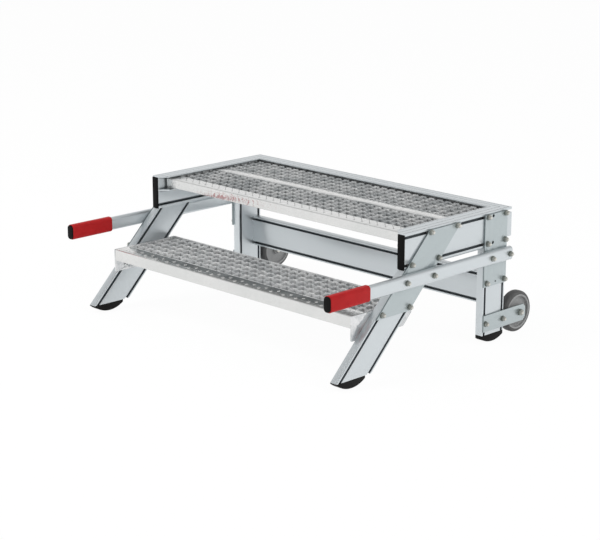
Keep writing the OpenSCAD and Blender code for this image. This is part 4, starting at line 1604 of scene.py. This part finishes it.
@dataclass
class Wheels(Assembly):
    """Tyres and rims, turned round the axle."""

    shoulder: float = 9.375 * MM
    ring: float = 5 * MM
    proud: float = 5 * MM
    disc: float = 12 * MM
    hub: float = 15 * MM
    bore: float = 8.05 * MM
    fillet: float = 3 * MM
    rim_edge: float = 0.9 * MM
    steps: int = 72

    def build(self) -> None:
        """Makes both wheels."""
        self.tyre()
        self.rim()

    def section(self, name: str, node: str, inner: float, cuts: Sequence[float] = (),
                rows: Sequence[float] = (), metal: Callable[[float, float], bool] = lambda off, radius: True,
                ) -> tuple[Workpiece, Vector]:
        """Lays a wheel piece's section flat above the axle.

        Args:
            name: The piece's name.
            node: The node that it stands for.
            inner: Radius of its bore.
            cuts: Where lines cross its width, from its middle.
            rows: Radii at which lines cross it.
            metal: Tells whether a point, by width from the middle and by radius, is in the piece.

        Returns:
            The section and the middle of the wheel.
        """
        low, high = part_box(node)
        middle = (low + high) / 2
        outer = (high.z - low.z) / 2
        centre = middle + Z * (inner + outer) / 2
        piece = Workpiece(name, "plane", centre, (high.x - low.x, outer - inner, 1), (X, Z, -Y), size=1)
        for place in cuts:
            piece.cut(middle + X * place, X)
        for radius in rows:
            piece.cut(middle + Z * radius, Z)
        piece.pick("FACE", lambda spot, _: not metal(spot.x - middle.x, spot.z - middle.z), least=0)
        piece.remove()
        return piece, middle

    def tyre(self) -> None:
        """The tyre, with round shoulders."""
        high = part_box("right_tyre")[1]
        rim_low, rim_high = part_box("right_rim")
        piece, middle = self.section("right_tyre_tread", "right_tyre", (rim_high.z - rim_low.z) / 2)
        piece.pick("VERT", lambda spot, _: spot.z > high.z - CLOSE, 2)
        piece.bevel(self.shoulder, 10, "VERTICES")
        piece.turn_round(middle, self.steps)
        self.both(piece, Finishes.TYRE, "right_tyre", "right_wheel")

    def rim(self) -> None:
        """The rim: a ring, a dished disc and a hub."""
        low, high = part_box("right_rim")
        outer = (high.z - low.z) / 2
        half = self.disc / 2

        def metal(off: float, radius: float) -> bool:
            """Tells whether a point is in the ring, the disc or the hub."""
            return abs(off) < half or radius > outer - self.ring or radius < self.hub

        piece, middle = self.section("right_rim_disc", "right_rim", self.bore, (-half, half),
                                     (self.hub, outer - self.ring), metal)
        piece.pick_all()
        bpy.ops.mesh.dissolve_limited(angle_limit=FLAT)
        piece.pick("VERT", lambda spot, _: abs(abs(spot.x - middle.x) - half) < NEAR, 4)
        piece.bevel(self.fillet, 4, "VERTICES")
        piece.pick("VERT", lambda spot, _: abs(spot.x - middle.x) > half + self.proud
                   and spot.z - middle.z > self.bore + CLOSE and spot.z < high.z - CLOSE, 4)
        piece.bevel(self.rim_edge, 2, "VERTICES")
        piece.turn_round(middle, self.steps)
        self.both(piece, Finishes.RIM, "right_rim", "right_wheel")


@dataclass
class Grating(Assembly):
    """A grating: tall notched bars across, low bars front to back, and bands round them."""

    node: str
    mesh: float
    first: float
    end_height: float
    back_height: float
    least: float = 10 * MM
    height: float = 30 * MM
    thick: float = 3 * MM
    cross_height: float = 10 * MM
    cross_thick: float = 2 * MM
    cross_drop: float = 1.2 * MM
    notch: float = 3.0 * MM
    notch_share: float = 0.4
    notch_slope: float = 1.2 * MM
    look: Finish = Finishes.GRATING

    def build(self) -> None:
        """Makes the grating."""
        low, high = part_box(self.node)
        half = self.thick / 2
        columns = max(1, round((high.x - low.x - self.thick) / self.mesh))
        pitch = (high.x - low.x - self.thick) / columns
        rows = 1 + math.floor((high.y - low.y - self.thick - self.least - self.first) / self.mesh + 1e-6)
        start = Vector((low.x + half, low.y + self.first, high.z))
        grate = self.notched_bar(f"{self.node}_mesh", start, pitch, columns)
        grate.repeat(rows, (0, self.mesh, 0))
        top = high.z - self.cross_drop
        cross = block("cross_bars",
                      (start.x + pitch - self.cross_thick / 2, low.y + half, top - self.cross_height),
                      (start.x + pitch + self.cross_thick / 2, high.y - half, top))
        cross.repeat(columns - 1, (pitch, 0, 0))
        grate.combine(cross)
        grate.combine(self.bands(low, high))
        grate.tidy()
        self.one(grate, self.look, self.node)

    def notched_bar(self, name: str, start: Vector, pitch: float, count: int) -> Workpiece:
        """Makes one tall bar with a row of notches in its top.

        Args:
            name: The piece's name.
            start: The bar's upper front corner at its left end.
            pitch: Distance between notches.
            count: Number of notches.

        Returns:
            The bar.
        """
        bar = block(name, start - Z * self.height, start + X * pitch + Y * self.thick)
        edge = pitch * (1 - self.notch_share) / 2
        slope = self.notch_slope
        for place in (edge, edge + slope, pitch - edge - slope, pitch - edge):
            bar.cut(start + X * place, X)
        bar.pick("FACE", lambda spot, normal: normal.z > ALIGNED
                 and edge + slope < spot.x - start.x < pitch - edge - slope)
        bar.move((0, 0, -self.notch))
        bar.pick("FACE", lambda _, normal: lies(normal, X), 2)
        bar.remove()
        bar.repeat(count, (pitch, 0, 0), use_merge_vertices=True, merge_threshold=HAIR)
        for end in (start.x, start.x + count * pitch):
            bar.select("EDGE", lambda rim: rim.is_boundary
                       and all(abs(corner.co.x - end) < NEAR for corner in rim.verts))
            bpy.ops.mesh.edge_face_add()
        bar.tidy()
        return bar

    def bands(self, low: Vector, high: Vector) -> Workpiece:
        """Makes the frame of flat bars round the grating.

        Args:
            low: The grating's lowest corner.
            high: Its highest corner.

        Returns:
            The frame.
        """
        top, thick = high.z, self.thick
        near, far = low.x + thick / 2, high.x - thick / 2
        whole = block("bands", (low.x, low.y, top - self.end_height), (low.x + thick, high.y, top))
        others = (((high.x - thick, low.y, top - self.end_height), high),
                  ((near, low.y, top - self.height), (far, low.y + thick, top)),
                  ((near, high.y - thick, top - self.back_height), (far, high.y, top)))
        for first, last in others:
            whole.combine(block("band", first, last))
        return whole


@dataclass
class Deck(Assembly):
    """The deck: nosing, two gratings and the strip between them."""

    sheet: float = 2.5 * MM
    fold: float = 3 * MM
    face: float = 28 * MM
    cheek: float = 3 * MM
    lug: tuple[float, float] = (20 * MM, 4 * MM)
    lug_hole: float = 5.9 * MM
    edge: float = 0.4 * MM
    edged: float = 45 * MM
    strip_edge: float = 1.2 * MM
    mesh: float = 32.3 * MM
    rear_first: float = 19.5 * MM
    band: float = 30 * MM
    deep_band: float = 34 * MM
    lean: float = 1.3 * MM
    pits: float = 6.0 * MM
    pit_pitch: float = 30 * MM
    stroke: float = 1.8 * MM
    stroke_reach: float = 27 * MM
    mark_depth: float = 1.0 * MM

    def build(self) -> None:
        """Makes all of it."""
        self.nosing()
        self.joint_strip()
        deep = self.deep_band
        Grating(self.effects, "deck_front_grating", self.mesh, self.mesh, deep, self.band).build()
        Grating(self.effects, "deck_rear_grating", self.mesh, self.rear_first, deep, deep).build()

    def nosing(self) -> None:
        """The folded nosing with its cheeks, lugs and row of drain pits."""
        low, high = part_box("deck_nosing")
        screw = middles("deck_screws")[0]
        bottom = high.z - self.face
        nosing = fold_sheet("deck_nosing_sheet", Vector((low.x, low.y, bottom)), high, self.sheet, self.fold)
        nosing.pick("VERT", lambda spot, _: spot.z < bottom + NEAR, 4)
        nosing.move((0, self.lean, 0))
        width, thick = self.lug
        for side in (-1, 1):
            cheek = block("cheek", (high.x - self.cheek, low.y + self.sheet / 2, low.z),
                          (high.x, high.y, high.z - self.sheet / 2))
            lug = block("lug", (2 * screw.x - high.x, screw.y - width / 2, low.z),
                        (high.x - self.cheek / 2, screw.y + width / 2, low.z + thick))
            cheek.combine(lug)
            if side < 0:
                cheek.flip()
            nosing.combine(cheek)
        nosing.drill([Vector((side * screw.x, screw.y, low.z + thick / 2)) for side in (-1, 1)],
                     self.lug_hole, 4 * thick, (X, Y, Z))
        nosing.combine(self.marks(low, high), "DIFFERENCE")
        nosing.round_edges(self.edge, 2, lambda spot, way: lies(way, X) and spot.y < low.y + self.edged)
        self.one(nosing, Finishes.SHEET, "deck_nosing")

    def marks(self, low: Vector, high: Vector) -> Workpiece:
        """Makes the cutter for the nosing's drain pits and the strokes that lead to them.

        Args:
            low: The nosing's lowest corner.
            high: Its highest corner.

        Returns:
            The cutter, lying in the nosing's top face.
        """
        across = Vector((1, -1, 0)).normalized()
        back = Vector((low.x + self.pit_pitch / 2, high.y, high.z))
        reach = self.stroke_reach * math.sqrt(2)
        stroke = Workpiece("stroke", "cube", back + across * reach / 2,
                           (reach, self.stroke, 2 * self.mark_depth), (across, Z.cross(across), Z), size=1)
        pit = Workpiece.round_bar("pit", self.pits, 4 * self.sheet, back + across * reach, (X, Y, Z), 16)
        pit.combine(stroke)
        pit.repeat(int((high.x - low.x) / self.pit_pitch) - 1, (self.pit_pitch, 0, 0))
        return pit

    def joint_strip(self) -> None:
        """The strip between the gratings, an upturned channel."""
        low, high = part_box("deck_joint_strip")
        wide, tall = high.y - low.y, high.z - low.z
        inner = (self.sheet, wide - self.sheet)
        strip = draw_out("deck_joint_channel", low, Y, Z, (wide, tall), inner, (tall - self.sheet,),
                         lambda side, level: level > tall - self.sheet or not inner[0] < side < inner[1],
                         X * (high.x - low.x))
        strip.round_edges(self.strip_edge, 3, lambda spot, way: lies(way, X) and spot.z > high.z - NEAR)
        self.one(strip, Finishes.SHEET, "deck_joint_strip")


def fold_sheet(name: str, low: Vector, high: Vector, sheet: float, fold: float) -> Workpiece:
    """Makes a nosing: a top sheet that is folded down at the front.

    Args:
        name: The piece's name.
        low: The lowest corner of its front face.
        high: The highest corner of its top face.
        sheet: The sheet's thickness.
        fold: The fold's outer radius.

    Returns:
        The nosing.
    """
    deep, tall = high.y - low.y, high.z - low.z
    piece = draw_out(name, low, Y, Z, (deep, tall), (sheet,), (tall - sheet,),
                     lambda side, level: side < sheet or level > tall - sheet, X * (high.x - low.x))
    piece.pick("EDGE", lambda spot, way: lies(way, X) and spot.y < low.y + NEAR and spot.z > high.z - NEAR)
    piece.bevel(fold, 5)
    return piece


@dataclass
class Step(Assembly):
    """The step: nosing, tread strip and grating."""

    sheet: float = 2.5 * MM
    fold: float = 3 * MM
    edge: float = 0.4 * MM
    tread: tuple[float, float] = (19.5 * MM, 53 * MM)
    tread_start: float = 62 * MM
    tread_end: float = 60 * MM
    tread_depth: float = 0.5 * MM
    tread_thick: float = 0.3 * MM
    tread_edge: float = 0.15 * MM
    tread_play: float = 0.1 * MM
    recess_over: float = 1 * MM
    button: float = 11 * MM
    button_rise: float = 2.2 * MM
    pitch: float = 50 * MM
    rows: tuple[float, float] = (32 * MM, 18 * MM)
    row_shift: float = 17 * MM
    drain: float = 5 * MM
    drains: tuple[float, float] = (14 * MM, 28 * MM)
    mesh: float = 33.1 * MM
    band: float = 30 * MM

    def build(self) -> None:
        """Makes all of it."""
        self.nosing()
        Grating(self.effects, "step_grating", self.mesh, self.mesh, self.band, self.band,
                look=Finishes.STEP_GRATING).build()

    def nosing(self) -> None:
        """The folded nosing, with a sunk tread strip, its raised buttons and two drain holes."""
        low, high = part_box("step_nosing")
        nosing = fold_sheet("step_nosing_sheet", low, high, self.sheet, self.fold)
        start, end = low.x + self.tread_start, high.x - self.tread_end
        recess = block("recess", (start, low.y + self.tread[0], high.z - self.tread_depth),
                       (end, low.y + self.tread[1] + self.recess_over, high.z + self.tread_depth))
        nosing.combine(recess, "DIFFERENCE")
        drains = [Vector((start - back, low.y + self.rows[1], high.z)) for back in self.drains]
        nosing.drill(drains, self.drain, 4 * self.sheet, (X, Y, Z))
        nosing.round_edges(self.edge, 2, lambda spot, way: lies(way, X))
        self.one(nosing, Finishes.SHEET, "step_nosing")
        self.tread_strip(start, end, low, high)

    def tread_strip(self, start: float, end: float, low: Vector, high: Vector) -> None:
        """The dark strip in the nosing and its two staggered rows of raised buttons.

        Args:
            start: Where the strip starts.
            end: Where it ends.
            low: The nosing's lowest corner.
            high: Its highest corner.
        """
        floor = high.z - self.tread_depth
        strip = block("step_tread_strip", (start, low.y + self.tread[0], floor),
                      (end, low.y + self.tread[1] - self.tread_play, floor + self.tread_thick))
        strip.round_edges(self.tread_edge, 1)
        self.one(strip, Finishes.TREAD)
        count = int((end - start - self.button) / self.pitch)
        for number, row in enumerate(self.rows):
            place = Vector((start + self.button + self.row_shift * (1 - number), low.y + row, floor))
            button = Workpiece.round_bar(f"step_buttons_{number + 1}", self.button, 2 * self.button_rise,
                                         place, (X, Y, Z), 20)
            button.pick("FACE", lambda _, normal: normal.z > ALIGNED)
            button.inset(self.button / 5)
            button.move((0, 0, -self.button_rise / 3))
            button.round_edges(self.edge, 2, lambda spot, way: crosses(way, Z) and spot.z > floor)
            button.repeat(count, (self.pitch, 0, 0))
            self.one(button, Finishes.SHEET)


@dataclass
class Fasteners(Assembly):
    """Bolts, washers and nuts, each kind modelled once and copied to its places."""

    bolt: float = 7.8 * MM
    axle: float = 10 * MM
    play: float = 0.05 * MM
    thread_out: float = 4.4 * MM
    thread_pitch: float = 1.25 * MM
    thread_depth: float = 0.6 * MM
    point: float = 0.94
    blank: tuple[float, float] = (1.002, 1.001)
    turned: float = 0.09
    washer_edge: float = 0.35 * MM
    head: tuple[float, float, float] = (5 * MM, 16 * MM, 11.4 * MM)
    head_edge: float = 0.6 * MM
    step_head: tuple[float, float] = (4.4 * MM, 14 * MM)
    step_dome: float = 2.6 * MM
    socket: tuple[float, float] = (2.6 * MM, 5 * MM)
    axle_head: tuple[float, float] = (6.4 * MM, 17 * MM)
    screw: float = 5.8 * MM
    screw_head: float = 3.3 * MM
    screw_dome: float = 1.2 * MM
    screw_socket: tuple[float, float] = (3.6 * MM, 4.6 * MM)
    lap: float = 0.5 * MM
    sides: int = 24

    def build(self) -> None:
        """Makes all of them."""
        for kind, bolt in (("plate", self.bolt), ("handle", self.bolt), ("axle", self.axle)):
            self.washers(f"{kind}_washers", bolt)
            self.nuts(f"{kind}_nuts", bolt)
        for kind in ("plate", "handle"):
            self.slot_bolts(f"{kind}_t_bolts")
        self.axle_bolt()
        self.step_bolts()
        self.small_screws("beam_screws", Y)
        self.small_screws("deck_screws", -Z)

    def gather(self, name: str, kinds: list[tuple[Workpiece, list[Vector]]], look: Finish,
               node: str) -> None:
        """Copies each kind of fastener to its places, mirrors them and finishes them as one piece.

        Args:
            name: The finished piece's name.
            kinds: Each fastener, made at the origin, and its places.
            look: Its finish.
            node: The node that it stands for.
        """
        for piece, places in kinds:
            piece.take_up()
            bpy.ops.object.mode_set(mode="EDIT")
            piece.spread(places)
        whole = kinds[0][0]
        for other, _ in kinds[1:]:
            whole.absorb(other)
        whole.modify("MIRROR", use_mirror_merge=False)
        whole.object.name = whole.object.data.name = name
        self.one(whole, look, node)

    def hexagon(self, name: str, height: float, flats: float) -> Workpiece:
        """A hexagon block along X with turned-off corners."""
        corners = flats / math.cos(math.pi / 6)
        piece = Workpiece.round_bar(name, corners, height, sides=6)
        wider, longer = self.blank
        blank = Workpiece.round_bar("blank", corners * wider, height * longer, sides=48)
        blank.round_edges(self.turned * corners, 2, lambda spot, way: crosses(way, X))
        piece.combine(blank, "INTERSECT")
        return piece

    def rod(self, name: str, start: float, length: float, diameter: float, thread: float) -> Workpiece:
        """A round bar along X from start, threaded and pointed at its far end.

        Args:
            name: The piece's name.
            start: Where it starts along X.
            length: Its length.
            diameter: Its diameter.
            thread: Length of the thread.

        Returns:
            The bar.
        """
        piece = Workpiece.round_bar(name, diameter, length, (start + length / 2, 0, 0), sides=self.sides)
        tip = start + length
        turns = int(thread / self.thread_pitch * 2)
        crests = [tip - (number + 1.4) * self.thread_pitch / 2 for number in range(turns)]
        for place in crests:
            piece.cut((place, 0, 0), X)
        narrow = 1 - 2 * self.thread_depth / diameter
        for place, factor in (*((root, narrow) for root in crests[1::2]), (tip, narrow * self.point)):
            piece.pick("VERT", lambda spot, _: abs(spot.x - place) < HAIR, 3)
            piece.stretch((1, factor, factor))
        return piece

    def washers(self, node: str, bolt: float) -> None:
        """The washers of a node, on bolts of some diameter."""
        kinds = []
        for (thick, wide, _), places in by_size(node).items():
            washer = Workpiece.round_bar("washer", wide, thick, sides=40)
            washer.round_edges(self.washer_edge, 2, lambda spot, way: crosses(way, X))
            washer.drill([Vector(ORIGIN)], bolt + 2 * self.play, 4 * thick)
            kinds.append((washer, places))
        self.gather(f"{node}_turned", kinds, Finishes.SHADED_WASHER, node)

    def nuts(self, node: str, bolt: float) -> None:
        """The nuts of a node, on bolts of some diameter."""
        kinds = []
        for (height, flats, _), places in by_size(node).items():
            nut = self.hexagon("nut", height, flats)
            nut.drill([Vector(ORIGIN)], bolt + 2 * self.play, 4 * height)
            kinds.append((nut, places))
        self.gather(f"{node}_cut", kinds, Finishes.LIT_NUT, node)

    def slot_bolts(self, node: str) -> None:
        """The bolts whose heads lie in the slots, along each slot's slope."""
        kinds = []
        thick, long, wide = self.head
        for (length, deep, tall), places in by_size(node).items():
            slope = math.radians(45 if abs(deep - tall) < CLOSE else 0 if deep > tall else 90)
            along = Y * math.cos(slope) + Z * math.sin(slope)
            middle = (thick - length) / 2
            head = Workpiece("slot_bolt", "cube", (middle, 0, 0), (thick, long, wide),
                             (X, along, X.cross(along)), size=1)
            head.round_edges(self.head_edge, 2)
            head.combine(self.rod("shank", middle, length - thick / 2, self.bolt, self.thread_out))
            kinds.append((head, places))
        self.gather(f"{node}_threaded", kinds, Finishes.LIT_BOLT, node)

    def axle_bolt(self) -> None:
        """The axle bolts, with hexagon heads inside."""
        low, high = solids("right_axle_bolt")[0]
        height, flats = self.axle_head
        middle = low.x + height / 2
        head = self.hexagon("right_axle_bolt_threaded", height, flats)
        head.pick_all()
        head.move((middle, 0, 0))
        head.combine(self.rod("shank", middle, high.x - middle, self.axle, self.thread_out))
        head.pick_all()
        head.move((0, (low.y + high.y) / 2, (low.z + high.z) / 2))
        self.both(head, Finishes.LIT_BOLT, "right_axle_bolt")

    def step_bolts(self) -> None:
        """The step's bolts, with domed heads and hexagon sockets."""
        (size, places), = by_size("step_bolts").items()
        height, width = self.step_head
        depth, flats = self.socket
        start = -size[0] / 2
        head = Workpiece.round_bar("step_bolt", width, height, (start + height / 2, 0, 0), sides=40)
        head.round_edges(self.step_dome, 5, lambda spot, way: crosses(way, X) and spot.x < start + NEAR)
        key = Workpiece.round_bar("key", flats / math.cos(math.pi / 6), 2 * depth, (start, 0, 0), sides=6)
        head.combine(key, "DIFFERENCE")
        seat = height - self.lap
        head.combine(self.rod("shank", start + seat, size[0] - seat, self.bolt, self.thread_out))
        self.gather("step_bolts_domed", [(head, places)], Finishes.STEP_BOLT, "step_bolts")

    def small_screws(self, node: str, way: Vector) -> None:
        """The small pan-head screws of a node, their heads towards a direction.

        Args:
            node: The node that they stand for.
            way: Where their heads point.
        """
        (size, places), = by_size(node).items()
        along = abs(Vector(size).dot(way))
        width = max(value for value in size if abs(value - along) > NEAR)
        height = self.screw_head
        depth, corners = self.screw_socket
        axes = (way.orthogonal(), way.cross(way.orthogonal()), way)
        head = Workpiece.round_bar("small_screw", width, height, way * (along - height) / 2, axes)
        head.round_edges(self.screw_dome, 4, lambda spot, _: spot.dot(way) > along / 2 - NEAR)
        key = Workpiece.round_bar("key", corners, depth, way * along / 2, axes, 6)
        head.combine(key, "DIFFERENCE")
        shank = Workpiece.round_bar("shank", self.screw, along - height + self.lap,
                                    way * (self.lap - height) / 2, axes, self.sides)
        head.combine(shank)
        self.gather(f"{node}_domed", [(head, places)], Finishes.LIT_BOLT, node)


def dress(node: str, finish: Finish, effects: Effects) -> None:
    """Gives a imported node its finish.

    Args:
        node: The node's name.
        finish: Its finish.
        effects: The shared node groups.
    """
    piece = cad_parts[node]
    piece.data.materials.clear()
    piece.data.materials.append(finish.material(effects))


HIDDEN_FINISHES = {"left_bush": Finishes.BUSH, "right_bush": Finishes.BUSH}


def main() -> None:
    """Builds the studio and the platform's pieces in order."""
    logging.basicConfig(level=logging.INFO, format="%(name)s: %(message)s")
    Studio().build()
    effects = Effects()
    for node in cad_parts:
        dress(node, HIDDEN_FINISHES.get(node, Finishes.STEEL), effects)
    for assembly in (Rim, Frame, Plates, Handles, Wheels, Deck, Step, Fasteners):
        LOG.info("building %s", assembly.__name__)
        assembly(effects).build()


if __name__ == "__main__":
    main()
